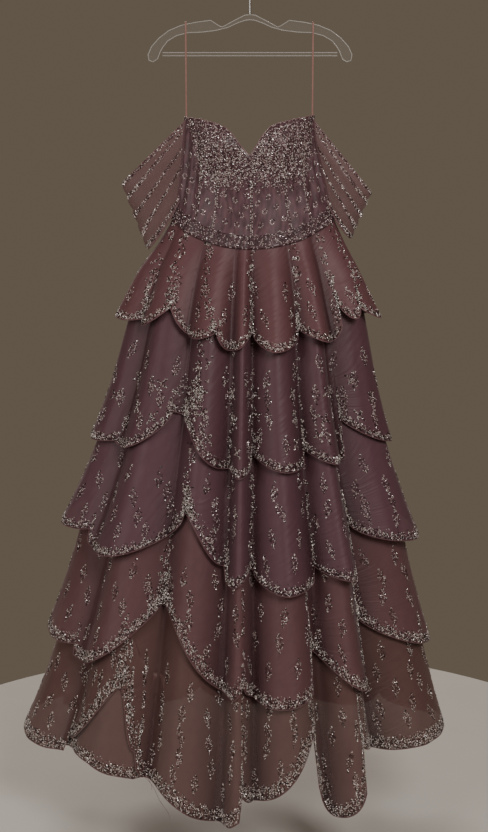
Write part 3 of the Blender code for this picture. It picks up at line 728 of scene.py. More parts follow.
class Finish(Nodes):
    """A material on its own Principled shader."""

    def __init__(self, name, constants):
        self.material = bpy.data.materials.new(name)
        self.material.use_nodes = True
        self.tree = self.material.node_tree
        self.shader = self.tree.nodes["Principled BSDF"]
        for label, value in constants.items():
            self.shader.inputs[label].default_value = value

    def uv(self, across, down):
        """The cut's own layout in metres, in steps of a size across and down."""
        layout = self.node("ShaderNodeTexCoord", output="UV")
        return self.node("ShaderNodeMapping", {}, {"Vector": layout, "Scale": (1 / across, 1 / down, 1.0)})

    def place(self, size):
        """The object's own coordinates in steps of a size."""
        place = self.node("ShaderNodeTexCoord", output="Object")
        return self.node("ShaderNodeMapping", {}, {"Vector": place, "Scale": (1 / size,) * 3})

    def noise(self, vector, detail=2.0, roughness=0.5):
        """Soft noise between 0 and 1."""
        values = {"Vector": vector, "Detail": detail, "Roughness": roughness}
        return self.node("ShaderNodeTexNoise", {}, values)

    def attribute(self, name):
        """A number that the mesh carries at each point."""
        return self.node("ShaderNodeAttribute", {"attribute_name": name}, output="Fac")

    def ramp(self, value, stops):
        """A colour picked by a number."""
        return self.node("ShaderNodeValToRGB", {"stops": stops}, {"Fac": value})

    def blend(self, share, first, second):
        """Two colours mixed by a share."""
        colours = [c if isinstance(c, Socket) else (*c, 1.0) for c in (first, second)]
        return self.node("ShaderNodeMix", {"data_type": "RGBA"}, {0: share, 6: colours[0], 7: colours[1]}, 2)

    def weave(self, thread):
        """Height of a plain weave: threads of uneven thickness, across and down."""
        over = self.noise(self.uv(thread, thread * 24.0), 1.0, 0.4)
        under = self.noise(self.uv(thread * 9.0, thread), 1.0, 0.4)
        return over * 0.7 + under * 0.3

    def set(self, socket, value):
        """Feed one socket of the shader."""
        self.tree.links.new(value.link, self.shader.inputs[socket])

    def relief(self, height, distance, strength):
        """Feed a height into the shader's normal."""
        sizes = {"Height": height, "Distance": distance, "Strength": strength}
        self.set("Normal", self.node("ShaderNodeBump", {}, sizes))


def shade(colour, share):
    """A colour made darker or lighter by a share."""
    return [min(1.0, part * share) for part in colour]


def organza_finish(name, light, deep, alpha):
    """Sheer crisp cloth with a fine weave, slubs and a soft sheen, and painted shade that darkens its colour
    in the folds.
    """
    look = Finish(name, {
        "Metallic": 0.0, "Alpha": alpha, "Specular IOR Level": 0.40,
        "Sheen Weight": 0.30, "Sheen Roughness": 0.35, "Sheen Tint": (1.0, 0.88, 0.92, 1.0),
    })
    clouds = look.noise(look.place(0.13), 3.0, 0.55)
    slubs = look.noise(look.uv(0.0011, 0.030), 2.0, 0.5)
    base = look.blend(clouds, light, shade(light, 0.78))
    base = look.blend(slubs * 0.06, base, shade(light, 1.6))
    # Painted shade: the colour darkens toward the deep colour where the fold attribute marks shade in the
    # folds.
    look.set("Base Color", look.blend(look.attribute("fold"), base, deep))
    look.set("Roughness", 0.46 + 0.06 * slubs)
    crumple = look.noise(look.uv(0.060, 0.160), 1.0, 0.4)
    look.relief(look.weave(0.0006) * 0.01 + crumple * 1.4, 0.0012, 0.7)
    return look.material


def satin_finish(name, light, dark):
    """Smooth lining or ribbon satin with a long soft sheen along the threads."""
    look = Finish(name, {"Metallic": 0.0, "Sheen Weight": 0.25, "Sheen Roughness": 0.30})
    clouds = look.noise(look.place(0.08), 2.0, 0.5)
    threads = look.noise(look.uv(0.0008, 0.040), 2.0, 0.5)
    look.set("Base Color", look.blend(clouds * 0.7 + threads * 0.3, light, dark))
    look.set("Roughness", 0.30 + 0.20 * threads)
    look.relief(threads * 0.4 + look.noise(look.uv(0.03, 0.09), 3.0) * 2.0, 0.0006, 0.6)
    return look.material


def bead_finish(name, dark, middle, light):
    """Cut glass and foil sequins, each with its own tone."""
    look = Finish(name, {"Metallic": 0.28, "Coat Weight": 0.6, "Coat Roughness": 0.05})
    cloud = look.noise(look.place(0.003), 1.0, 0.5)
    stops = [(0.0, dark), (0.36, shade(dark, 1.8)), (0.42, middle), (0.62, light)]
    look.set("Base Color", look.blend(cloud * 0.10, look.ramp(look.attribute("tone"), stops), middle))
    look.set("Roughness", 0.10 + 0.20 * cloud)
    return look.material


def bodice_finish(name, light, deep):
    """Close satin under net, with long streaks of painted highlight and shade for the satin's sheen, and the
    net's small holes in relief.
    """
    look = Finish(name, {"Metallic": 0.0, "Sheen Weight": 0.30, "Sheen Roughness": 0.35})
    # Painted highlight and shade: long streaks lighten and darken the satin's colour for its sheen.
    clouds = look.noise(look.uv(0.040, 0.110), 1.0, 0.4)
    holes = look.uv(0.0016, 0.0016)
    net = look.node("ShaderNodeTexVoronoi", {"feature": "DISTANCE_TO_EDGE"}, {"Vector": holes})
    base = look.ramp(clouds, [(0.35, shade(light, 0.60)), (0.70, shade(light, 1.15))])
    look.set("Base Color", look.blend(0.25 - net * 0.5, base, deep))
    look.set("Roughness", 0.34 + 0.2 * clouds)
    look.relief(net * 0.25 + look.weave(0.0007) * 0.05, 0.0005, 0.6)
    return look.material


def clear_finish(name, alpha):
    """Clear moulded plastic, faintly hazy, with scuffs that catch the light."""
    look = Finish(name, {"Metallic": 0.0, "Alpha": alpha, "Coat Weight": 0.5, "Coat Roughness": 0.06})
    scuffs = look.noise(look.place(0.012), 4.0, 0.6)
    look.set("Base Color", look.blend(scuffs, (0.62, 0.60, 0.58), (0.86, 0.85, 0.84)))
    look.set("Roughness", 0.06 + 0.20 * scuffs)
    look.relief(scuffs, 0.0003, 0.5)
    return look.material


def metal_finish(name):
    """Plated steel wire with fine drawn lines."""
    look = Finish(name, {"Metallic": 1.0})
    lines = look.noise(look.place(0.0015), 3.0, 0.6)
    wear = look.noise(look.place(0.02), 3.0, 0.6)
    look.set("Base Color", look.blend(wear, (0.42, 0.41, 0.41), (0.62, 0.61, 0.60)))
    look.set("Roughness", 0.16 + 0.24 * lines)
    look.relief(lines, 0.0001, 0.6)
    return look.material


def floor_finish(name):
    """Plain pale studio floor."""
    look = Finish(name, {"Metallic": 0.0, "Roughness": 0.7})
    grain = look.noise(look.place(0.5), 2.0, 0.5)
    look.set("Base Color", look.blend(grain, (0.76, 0.73, 0.69), (0.80, 0.77, 0.73)))
    return look.material


def put(name, data):
    """A new object at the origin of the scene."""
    made = bpy.data.objects.new(name, data)
    bpy.context.scene.collection.objects.link(made)
    return made


def new_piece(name, points, faces, looks, inner, uv, fold):
    """A smooth piece from points and faces, with its materials, its layout and the painted shade of its
    folds.
    """
    mesh = bpy.data.meshes.new(name)
    mesh.from_pydata(points.tolist(), [], faces.tolist())
    for look in looks:
        mesh.materials.append(look)
    mesh.polygons.foreach_set("use_smooth", [True] * len(mesh.polygons))
    mesh.polygons.foreach_set("material_index", inner.astype(np.int32))
    corners = np.zeros(len(mesh.loops), np.int32)
    mesh.loops.foreach_get("vertex_index", corners)
    layer = mesh.uv_layers.new(name="cut")
    layer.data.foreach_set("uv", uv.astype(np.float32)[corners].ravel())
    # The fold attribute carries painted shade that darkens the colour in the folds.
    if fold is not None:
        shade_depths = mesh.attributes.new("fold", "FLOAT", "POINT")
        shade_depths.data.foreach_set("value", fold.astype(np.float32))
    mesh.update()
    return put(name, mesh)


def shell(name, cloth, columns, looks, thick=CLOTH, fold=None):
    """A thin closed shell of part of a cloth; gives the piece, its width, length and area."""
    normals = cloth.normals[:, columns]
    points = cloth.points[:, columns]
    for edge, inside in ((0, 1), (-1, -2)):
        toward = points[:, inside] - points[:, edge]
        points[:, edge] += toward / np.linalg.norm(toward, axis=1, keepdims=True) * SEAM / 2
    high, wide = points.shape[:2]
    outer = (points + normals * thick / 2).reshape(-1, 3)
    inner = (points - normals * thick / 2).reshape(-1, 3)
    along = np.cumsum(np.linalg.norm(np.diff(points, axis=1, prepend=points[:, :1]), axis=2), 1)
    down = np.cumsum(np.linalg.norm(np.diff(points, axis=0, prepend=points[:1]), axis=2), 0)
    uv = np.stack([along, -down], 2).reshape(-1, 2)
    count = high * wide
    grid = np.arange(count).reshape(high, wide)
    quads = np.stack([grid[:-1, :-1], grid[1:, :-1], grid[1:, 1:], grid[:-1, 1:]], 2).reshape(-1, 4)
    rim = np.concatenate([grid[0, :-1], grid[:-1, -1], grid[-1, :0:-1], grid[:0:-1, 0]])
    after = np.roll(rim, -1)
    edge = np.stack([rim, after, after + count, rim + count], 1)
    facing = np.cross(points[1:, :-1] - points[:-1, :-1], points[:-1, 1:] - points[:-1, :-1])
    if (facing[high // 2, wide // 2] * normals[high // 2, wide // 2]).sum() < 0:
        quads = quads[:, ::-1]
        edge = edge[:, ::-1]
    faces = np.concatenate([quads, quads[:, ::-1] + count, edge])
    side = np.concatenate([np.zeros(len(quads)), np.ones(len(quads)), np.zeros(len(edge))])
    # Painted shade of the folds, the same on both faces.
    shade_depths = None if fold is None else np.tile(fold[:, columns].reshape(-1), 2)
    both = np.concatenate([outer, inner])
    piece = new_piece(name, both, faces, looks, side * (len(looks) - 1), np.tile(uv, (2, 1)), shade_depths)
    area = float(np.linalg.norm(facing, axis=2).sum())
    return piece, float(along[:, -1].max()), float(down[-1].max()), area


def declare(made, node):
    """Attach a cloth piece to the root and hide the solid that it stands for."""
    piece, width, length, area = made
    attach(piece, "root")
    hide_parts(node)
    length = max(length, area / width)
    max(area, 0.31 * width * length)


class Growth(Nodes):
    """A geometry tree with named sizes, which ends in a plain mesh."""

    def __init__(self, name, sizes):
        self.tree = bpy.data.node_groups.new(name, "GeometryNodeTree")
        for way in ("INPUT", "OUTPUT"):
            self.tree.interface.new_socket("Geometry", in_out=way, socket_type="NodeSocketGeometry")
        for label, kind in sizes.items():
            self.tree.interface.new_socket(label, in_out="INPUT", socket_type=kind)
        self.entry = self.tree.nodes.new("NodeGroupInput")

    def given(self, label):
        """One input of the tree."""
        return Socket(self, self.entry.outputs[label])

    def carried(self, name, kind="FLOAT"):
        """A value that the base mesh carries at each point."""
        return self.node("GeometryNodeInputNamedAttribute", {"data_type": kind}, {"Name": name}, "Attribute")

    def finish(self, geometry, look):
        """End the tree in a real mesh with its material."""
        real = self.node("GeometryNodeRealizeInstances", {}, {"Geometry": geometry})
        dressed = self.node("GeometryNodeSetMaterial", {}, {"Geometry": real, "Material": look})
        self.tree.links.new(dressed.link, self.tree.nodes.new("NodeGroupOutput").inputs["Geometry"])
        return self.tree


def bead_tree(name, look):
    """Sets a faceted bead on each point, turned by its facing and spin, sized by its size."""
    tree = Growth(name, {"Facets": "NodeSocketInt", "Crown": "NodeSocketFloat"})
    cone = tree.node("GeometryNodeMeshCone", {"fill_type": "NGON"}, {
        "Vertices": tree.given("Facets"), "Depth": tree.given("Crown"),
        "Radius Top": 0.0, "Radius Bottom": 1.0,
    })
    facing = tree.carried("facing", "FLOAT_VECTOR")
    align = tree.node("FunctionNodeAlignRotationToVector", {"axis": "Z"}, {"Vector": facing})
    spin = tree.node("FunctionNodeAxisAngleToRotation", {}, {"Angle": tree.carried("spin")})
    turns = {"Rotation": align, "Rotate By": spin}
    turn = tree.node("FunctionNodeRotateRotation", {"rotation_space": "LOCAL"}, turns)
    sown = tree.node("GeometryNodeInstanceOnPoints", {}, {
        "Points": tree.given("Geometry"), "Instance": cone, "Rotation": turn, "Scale": tree.carried("size"),
    })
    return tree.finish(sown, look)


def cord_tree(name, look):
    """Runs a round cord along each chain of edges."""
    tree = Growth(name, {"Radius": "NodeSocketFloat", "Sides": "NodeSocketInt"})
    path = tree.node("GeometryNodeMeshToCurve", {}, {0: tree.given("Geometry")})
    sizes = {"Radius": tree.given("Radius"), "Resolution": tree.given("Sides")}
    ring = tree.node("GeometryNodeCurvePrimitiveCircle", {}, sizes)
    swept = {"Curve": path, "Profile Curve": ring, "Fill Caps": True}
    return tree.finish(tree.node("GeometryNodeCurveToMesh", {}, swept), look)


def grow(name, mesh, tree, sizes, rounded):
    """A plain mesh piece from a geometry tree run on a base mesh."""
    base = put(name + "_base", mesh)
    modifier = base.modifiers.new("repeat", "NODES")
    modifier.node_group = tree
    for item in tree.interface.items_tree:
        if item.item_type == "SOCKET" and item.in_out == "INPUT" and item.name in sizes:
            modifier[item.identifier] = sizes[item.name]
    graph = bpy.context.evaluated_depsgraph_get()
    made = bpy.data.meshes.new_from_object(
        base.evaluated_get(graph), preserve_all_data_layers=True, depsgraph=graph
    )
    made.name = name
    bpy.data.objects.remove(base)
    bpy.data.meshes.remove(mesh)
    made.polygons.foreach_set("use_smooth", [rounded] * len(made.polygons))
    piece = put(name, made)
    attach(piece, "root")
    return piece


def cords(name, paths, tree, radius, sides, slot, *nodes):
    """Round cords along several paths, each closed or open."""
    points = []
    edges = []
    for path, closed in paths:
        first = len(points)
        points += [tuple(point) for point in path]
        edges += [(first + i, first + i + 1) for i in range(len(path) - 1)]
        if closed:
            edges.append((len(points) - 1, first))
    mesh = bpy.data.meshes.new(name + "_path")
    mesh.from_pydata(points, edges, [])
    piece = grow(name, mesh, tree, {"Radius": radius, "Sides": sides}, True)
    if nodes:
        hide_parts(*nodes)


# Beads: the radius of a common, a bodice's and a small one, how many facets each has and how
# high its point stands against its radius, and how far apart the flowers of a border are.
BEAD = 0.00135
BODICE_BEAD = 0.0013
SMALL_BEAD = 0.00125
FACETS = 4
CROWN = 0.85
BORDER_SPACING = 0.0072

# How far apart sprigs and blossoms are, across and down.
SPRIG_APART = (0.064, 0.056)
CROSS_APART = (0.088, 0.072)

# Width of the top tier's trails and of the short bands, and the flowers to a square metre of
# a trail, of a long band and of a short one.
TRAIL_WIDTH = 0.017
SHORT_WIDTH = 0.008
TRAIL_DENSITY = 22000.0
BAND_DENSITY = 17000.0
SHORT_DENSITY = 16000.0


class Beads:
    """Beads gathered for a piece: where each sits, how it faces, its size and its tone."""

    def __init__(self, seed):
        self.random = np.random.default_rng(seed)
        self.points = []
        self.facing = []
        self.size = []
        self.tone = []

    def sew(self, cloth, column, row, size, tilt=0.40, lift=0.0, dark=0.50):
        """Sew beads on a cloth at some columns and rows."""
        column = np.atleast_1d(np.asarray(column, float))
        row = np.broadcast_to(np.asarray(row, float), column.shape)
        inside = (row >= 0) & (row <= cloth.hem)
        column = column[inside]
        points, facing = cloth.place(column, row[inside], lift)
        facing = facing + self.random.normal(0.0, tilt, facing.shape)
        facing /= np.linalg.norm(facing, axis=1, keepdims=True)
        self.points.append(points)
        self.facing.append(facing)
        self.size.append(size * self.random.uniform(0.85, 1.25, len(column)))
        tone = self.random.uniform(0.0, 1.0, len(column))
        dull = self.random.uniform(0.0, 1.0, len(column)) < dark
        self.tone.append(np.where(dull, tone * 0.36, 0.38 + tone * 0.62))

    def ring(self, cloth, column, row, reach, bead, petals=5, dark=0.52):
        """Small flowers: a ring of beads with a darker one in the middle."""
        column = np.atleast_1d(np.asarray(column, float))
        self.sew(cloth, column, row, bead * 0.9, dark=0.85)
        spin = self.random.uniform(0, 2 * math.pi, column.shape)
        for n in range(petals):
            turn = spin + 2 * math.pi * n / petals
            place = cloth.step(column, row, reach * np.cos(turn), reach * np.sin(turn))
            self.sew(cloth, *place, bead, dark=dark)

    def bring(self, name, tree, crown=CROWN, keep=None):
        """The gathered beads as one mesh piece, or those that a test keeps."""
        points = np.concatenate(self.points)
        kept = np.ones(len(points), bool) if keep is None else keep(points)
        spins = self.random.uniform(0.0, 2 * math.pi, len(points))
        mesh = bpy.data.meshes.new(name + "_points")
        mesh.from_pydata(points[kept].tolist(), [], [])
        facing = mesh.attributes.new("facing", "FLOAT_VECTOR", "POINT")
        facing.data.foreach_set("vector", np.concatenate(self.facing)[kept].astype(np.float32).ravel())
        numbers = {"size": np.concatenate(self.size), "spin": spins, "tone": np.concatenate(self.tone)}
        for label, values in numbers.items():
            made = mesh.attributes.new(label, "FLOAT", "POINT")
            made.data.foreach_set("value", values[kept].astype(np.float32))
        grow(name, mesh, tree, {"Facets": FACETS, "Crown": crown}, False)


def hem_border(beads, cloth, width):
    """Flowers in uneven rows above a hem, thinning out upward, and loose beads between."""
    apart = BORDER_SPACING * 0.72
    lines = max(2, int(round(width / apart)))
    for line in range(lines):
        column = cloth.walk(cloth.hem, BORDER_SPACING, 0.5 * (line % 2))
        column = column + beads.random.normal(0.0, 0.25, len(column))
        kept = beads.random.uniform(0, 1, len(column)) < (1.0 if line + 1 < lines else 0.6)
        column = column[kept]
        rise = 0.0048 + apart * line + beads.random.normal(0.0, 0.0007, len(column))
        beads.ring(cloth, column, cloth.above_hem(column, rise), BORDER_SPACING * 0.35, BEAD)
    loose = int(cloth.across[-1].sum() * width / 4.0e-5)
    column = beads.random.uniform(0, len(cloth.columns), loose)
    rise = 0.003 + (width + 0.005) * beads.random.power(0.8, loose)
    beads.sew(cloth, column, cloth.above_hem(column, rise), BEAD * 0.8)


# A sprig and a cross-shaped blossom: how far to the side and down each of their flowers
# sits, and how big it is.
SPRIG = table(
    "side drop reach",
    (0.0002, -0.0185, 0.0014),
    (-0.0030, -0.0124, 0.0024),
    (0.0036, -0.0092, 0.0026),
    (-0.0058, -0.0040, 0.0026),
    (0.0008, -0.0016, 0.0028),
    (0.0064, 0.0010, 0.0024),
    (-0.0040, 0.0044, 0.0026),
    (0.0036, 0.0082, 0.0025),
    (-0.0014, 0.0128, 0.0022),
    (0.0004, 0.0188, 0.0011),
)
CROSS = table(
    "side drop reach",
    (0.0000, 0.0000, 0.0016),
    (-0.0042, -0.0042, 0.0020),
    (0.0042, -0.0042, 0.0020),
    (-0.0042, 0.0042, 0.0020),
    (0.0042, 0.0042, 0.0020),
    (-0.0082, -0.0084, 0.0018),
    (0.0082, -0.0084, 0.0018),
    (-0.0082, 0.0084, 0.0018),
    (0.0082, 0.0084, 0.0018),
)


def sprigs(beads, cloth, first, last, gap, spread, blooms):
    """Sprigs or blossoms in staggered rows over part of a tier."""
    lines = max(1, int(round((last - first) * cloth.high / spread)))
    for line in range(lines):
        middle = cloth.hem * (first + (last - first) * (line + 0.5) / lines)
        column = cloth.walk(middle, gap, 0.5 * (line % 2) + 0.2 * line)
        column = column + beads.random.normal(0.0, 0.5, len(column))
        row = middle + beads.random.normal(0.0, 0.35, len(column))
        lean = beads.random.normal(0.0, 0.18, len(column))
        for bloom in blooms:
            side = bloom.side * np.cos(lean) - bloom.drop * np.sin(lean)
            drop = bloom.drop * np.cos(lean) + bloom.side * np.sin(lean)
            beads.ring(cloth, *cloth.step(column, row, side, drop), bloom.reach, SMALL_BEAD)


def trail(beads, cloth, angles, rows, width, density):
    """A band of scattered flowers from one place to another, thick at first and thinning."""
    first, last = column_of(angles)
    high = cloth.high * abs(rows[1] - rows[0]) / cloth.hem
    count = max(4, int(high * width * density))
    share = beads.random.uniform(0, 1, count)
    column = first + (last - first) * share
    row = rows[0] + (rows[1] - rows[0]) * share
    wander = 0.22 * np.sin(share * high / 0.030 * 2 * math.pi + angles[0])
    side = width * (beads.random.uniform(-0.5, 0.5, count) + wander) * (1.0 - 0.3 * share)
    column, row = cloth.step(column, row, side, np.zeros(count))
    beads.ring(cloth, column, row, 0.0024, SMALL_BEAD)


# Cloth and beading of each row of petals: its colour, the same organza with light and shade painted
# into it per tier, warm on the top one and brown on the lowest, how much it covers, the width of its
# border, and where its sprigs start and end.
PETALS = table(
    "light alpha border sprigs_from sprigs_to",
    ((0.226, 0.098, 0.114), 0.76, 0.014, 0.30, 0.84),
    ((0.178, 0.083, 0.108), 0.74, 0.015, 0.24, 0.88),
    ((0.194, 0.094, 0.124), 0.74, 0.017, 0.26, 0.90),
    ((0.222, 0.111, 0.125), 0.75, 0.020, 0.26, 0.90),
    ((0.196, 0.103, 0.100), 0.78, 0.024, 0.26, 0.90),
)

# Angles where the top tier's beaded trails leave the belt, each on its way to a notch.
TRAILS = (-72.0, -49.0, -28.0, 0.0, 27.0, 48.0, 70.0, 104.0, 131.0, 164.0, 196.0, 226.0)

# Beaded bands that climb from the notches of the lower hems: the notch, the top end and
# the width of the long one, and the notches of the short ones in front and behind.
BANDS = table(
    "notch top width short",
    (-27.0, -20.0, 0.044, (-8.0, 1.0, 24.0)),
    (-23.3, -23.3, 0.028, (-8.0, 1.0, 24.0)),
    (-31.0, -31.0, 0.028, (-2.0, 20.7, 42.0)),
    (-41.3, -41.3, 0.022, (-2.0, 20.7, 34.8)),
)
SHORT_BEHIND = (131.0, 164.0, 196.0)

# Lower edge of the bodice's heavy beading, round the body.
COVER = table(
    "angle z",
    (-76.0, -0.290), (-62.0, -0.312), (-51.0, -0.377), (-39.0, -0.416), (-29.0, -0.428), (-17.0, -0.427),
    (0.0, -0.410), (24.0, -0.420), (42.0, -0.416), (53.0, -0.393), (62.0, -0.362), (76.0, -0.300),
)

# Beaded bands of a sleeve: how far down it each runs at the seams and at the outer fold.
SLEEVE_BANDS = ((0.03, 0.03), (0.10, 0.23), (0.30, 0.51), (0.52, 0.78), (0.92, 0.96))

PANELS = table(
    "node start end",
    ("bodice_side_left", -90.0, -44.8),
    ("bodice_front_left", -44.8, 1.0),
    ("bodice_front_right", 1.0, 46.0),
    ("bodice_side_right", 46.0, 90.0),
    ("bodice_back_right", 90.0, 180.0),
    ("bodice_back_left", 180.0, 270.0),
)

# Materials of the gown and its hanger.
# Painted shade colour that the petals darken to in the valleys of their folds.
FOLD_SHADE_COLOUR = (0.038, 0.013, 0.017)
organza = [
    organza_finish("petal_organza_" + tier.name, petals.light, FOLD_SHADE_COLOUR, petals.alpha)
    for tier, petals in zip(TIERS, PETALS)
]
sheer = organza_finish("sleeve_organza", (0.25, 0.128, 0.148), (0.11, 0.050, 0.055), 0.30)
lining = satin_finish("lining", (0.35, 0.185, 0.195), (0.27, 0.140, 0.150))
bodice_net = bodice_finish("bodice_cloth", (0.172, 0.084, 0.106), (0.055, 0.022, 0.027))
ribbon_satin = satin_finish("satin_ribbon", (0.40, 0.20, 0.175), (0.30, 0.14, 0.12))
beading = bead_finish("beading", (0.010, 0.004, 0.005), (0.40, 0.27, 0.26), (1.0, 0.95, 0.93))
thread = satin_finish("binding", (0.26, 0.140, 0.155), (0.19, 0.098, 0.110))
clear = clear_finish("clear_plastic", 0.03)
clear_edge = clear_finish("clear_plastic_edge", 0.36)
wire = metal_finish("hook_metal")

tiers = tier_cloths()
bodice = bodice_cloth()
belt = belt_cloth()
under = under_petal_cloth()
underskirt = underskirt_cloth()
sleeves = [sleeve_cloth(sleeve) for sleeve in SLEEVES]


def fold_shade(cloth):
    """Painted shade of each point of a tier, darker where it lies deep in a narrow fold, growing down the
    tier.
    """
    shade_depths = np.array([valley(angle) for angle in FINE])
    widths = np.concatenate([np.full(fold.facets * FINER, fold.end - fold.start) for fold in FOLDS])
    down = np.linspace(0.0, 1.0, cloth.points.shape[0])[:, None]
    narrow = shade_depths ** np.clip(widths / 11.0, 1.6, 4.5)
    return np.clip(narrow[None, :] * (0.40 + 0.60 * down), 0.0, 1.0) * 0.96


def make_skirt():
    """Five tiers of petals, each a front and a back panel, over the underskirt."""
    for tier, cloth, look in zip(TIERS, tiers, organza):
        for half, columns in HALVES:
            node = tier.name + "_" + half
            made = shell("petals_" + node, cloth, columns, [look], fold=fold_shade(cloth))
            declare(made, node)
    made = shell("petals_under", under, under.columns, [organza[-1]])
    declare(made, "under_petal")
    for half, columns in HALVES:
        made = shell("lining_skirt_" + half, underskirt, columns, [lining])
        declare(made, "underskirt_" + half)


def nearest_column(angle):
    """The wall edge of the solids nearest to an angle."""
    return min(COLUMNS + [FOLDS[0].start + 360.0], key=lambda column: abs(column - angle))


def make_bodice():
    """Six fitted panels lined with satin, and the beaded belt."""
    for panel in PANELS:
        end = nearest_column(panel.end) if panel.end < 270.0 else 270.0
        columns = columns_between(nearest_column(panel.start), end)
        made = shell("net_" + panel.node, bodice, columns, [bodice_net, lining], 0.0014)
        declare(made, panel.node)
    for half, columns in HALVES:
        made = shell("band_belt_" + half, belt, columns, [bodice_net, lining], 0.0022)
        declare(made, "belt_" + half)


def make_sleeves():
    """Sheer off-the-shoulder bands."""
    for sleeve, cloth in zip(SLEEVES, sleeves):
        made = shell("sheer_" + sleeve.name, cloth, cloth.columns, [sheer])
        declare(made, sleeve.name)


def make_ribbons():
    """Narrow satin hanging loops over the hanger's arms."""
    arm_top = -0.1035
    low = -0.305
    reach = HANGER_THICK / 2 + SEAM + 0.00055
    turns = [math.pi * i / 10 for i in range(1, 10)]
    path = [(-reach, low + (arm_top - low) * i / 16) for i in range(17)]
    path += [(-reach * math.cos(turn), arm_top + reach * math.sin(turn)) for turn in turns]
    path += [(reach, arm_top + (low - arm_top) * i / 16) for i in range(17)]
    for name, at_x in (("ribbon_left", RIBBON_LEFT_X), ("ribbon_right", RIBBON_RIGHT_X)):
        grid = [[(at_x + (i / 4 - 0.5) * RIBBON_WIDTH, y, z) for i in range(5)] for y, z in path]
        cloth = Cloth(grid, False, (0.0, 0.0, -0.18), (0.0, 1.0, 0.05))
        piece = shell("satin_" + name, cloth, cloth.columns, [ribbon_satin], 0.0010)[0]
        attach(piece, "root")
        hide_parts(name)


def make_hanger():
    """Clear plastic arms and bar with a moulded rim, and the wire hook."""
    right = [(corner.x, corner.z) for corner in HANGER_ARM]
    outline = right + [(-x, z) for x, z in reversed(right[1:-1])]
    rims = []
    for y in (-HANGER_THICK / 2, HANGER_THICK / 2):
        path = []
        for i, (x, z) in enumerate(outline):
            before = outline[i - 1]
            after = outline[(i + 1) % len(outline)]
            along = Vector((after[0] - before[0], after[1] - before[1])).normalized()
            path.append((x - along.y * RIM_SHIFT, y, z - along.x * RIM_SHIFT))
        rims.append((path, True))
        for edge in (-BAR_EDGE, BAR_EDGE):
            path = [(x * BAR_HALF * 0.995, y, BAR_Z + edge) for x in (-1.0, -0.5, 0.0, 0.5, 1.0)]
            rims.append((path, False))
    cords("hanger_rims", rims, cord_tree("moulded_rim", clear_edge), RIM_RADIUS, 6, "clear_plastic")
    centre = HOOK_WIRE - HOOK_RADIUS
    path = [(0.0, 0.0, HANGER_TOP + SEAM), (0.0, 0.0, centre - HOOK_RADIUS - HOOK_NECK)]
    for i in range(41):
        turn = math.radians(HOOK_START + HOOK_SWEEP * i / 40)
        path.append((HOOK_RADIUS * math.cos(turn), 0.0, centre + HOOK_RADIUS * math.sin(turn)))
    cords("wire_hook", [(path, False)], cord_tree("bent_wire", wire), HOOK_WIRE, 14, "hook_metal", "hook")
    for node in ("hanger_arms", "hanger_bar"):
        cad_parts[node].material_slots[0].material = clear


def strand(angle, drift, length):
    """Path of a loose thread that hangs from the lowest hem and drifts to the side."""
    start = Vector(tiers[-1].points[-1, int(column_of(angle))])
    path = []
    for i in range(33):
        down = i / 32
        side = drift * down ** 0.6 + 0.004 * math.sin(9.0 * down) * down
        path.append(start + Vector((side, -0.6 * drift * down - 0.002, -length * down)))
    return path


def make_trims():
    """Rolled hems, the neckline's binding, panel seams and a few loose threads."""
    rolled = cord_tree("rolled_hem", thread)
    for tier, cloth in zip(TIERS, tiers):
        path = [(cloth.points[-1], True)]
        cords("rolled_hem_" + tier.name, path, rolled, HEM_ROLL, 6, "petal_organza")
    cords("rolled_hem_under", [(under.points[-1], False)], rolled, HEM_ROLL, 6, "petal_organza")
    strands = [(strand(-34.0, 0.034, 0.074), False), (strand(-32.5, 0.066, 0.082), False)]
    cords("loose_threads", strands, rolled, LOOSE_THREAD, 5, "petal_organza")
    path = bodice.points[0] + bodice.normals[0] * 0.0004
    cords("neck_binding", [(path, True)], rolled, NECK_ROLL, 8, "bodice_cloth")
    seams = []
    for angle in BONES + (-90.0, 90.0, 180.0):
        i = int(round(column_of(angle))) % len(FINE)
        seams.append((bodice.points[:, i] + bodice.normals[:, i] * 0.0008, False))
    cords("panel_seams", seams, rolled, SEAM_RIDGE, 5, "bodice_cloth")
    edges = [(cloth.points[row], False) for cloth in sleeves for row in (0, -1)]
    cords("sleeve_edges", edges, rolled, SLEEVE_ROLL, 6, "sleeve_organza")


def sew_skirt(tree):
    """Borders, sprigs, blossoms, trails and bands of the petals."""
    for k, (tier, petals, cloth) in enumerate(zip(TIERS, PETALS, tiers)):
        beads = Beads(11 + k)
        hem_border(beads, cloth, petals.border)
        sprigs(beads, cloth, petals.sprigs_from, petals.sprigs_to, *SPRIG_APART, SPRIG)
        if k == 0:
            for start, petal in zip(TRAILS, HEMS[tier.name][1:]):
                trail(beads, cloth, (start, petal.angle), (0.5, cloth.hem), TRAIL_WIDTH, TRAIL_DENSITY)
        else:
            band = BANDS[k - 1]
            trail(beads, cloth, (band.notch, band.top), (cloth.hem, 1.5), band.width, BAND_DENSITY)
            if k == 1:
                sprigs(beads, cloth, 0.36, 0.90, *CROSS_APART, CROSS)
            for notch in band.short + SHORT_BEHIND:
                trail(beads, cloth, (notch, notch), (cloth.hem, 4.0), SHORT_WIDTH, SHORT_DENSITY)
        beads.bring("beads_" + tier.name + "_front", tree, keep=lambda points: points[:, 1] <= 0)
        beads.bring("beads_" + tier.name + "_back", tree, keep=lambda points: points[:, 1] > 0)
    beads = Beads(21)
    hem_border(beads, under, 0.022)
    beads.bring("beads_under_petal", tree)


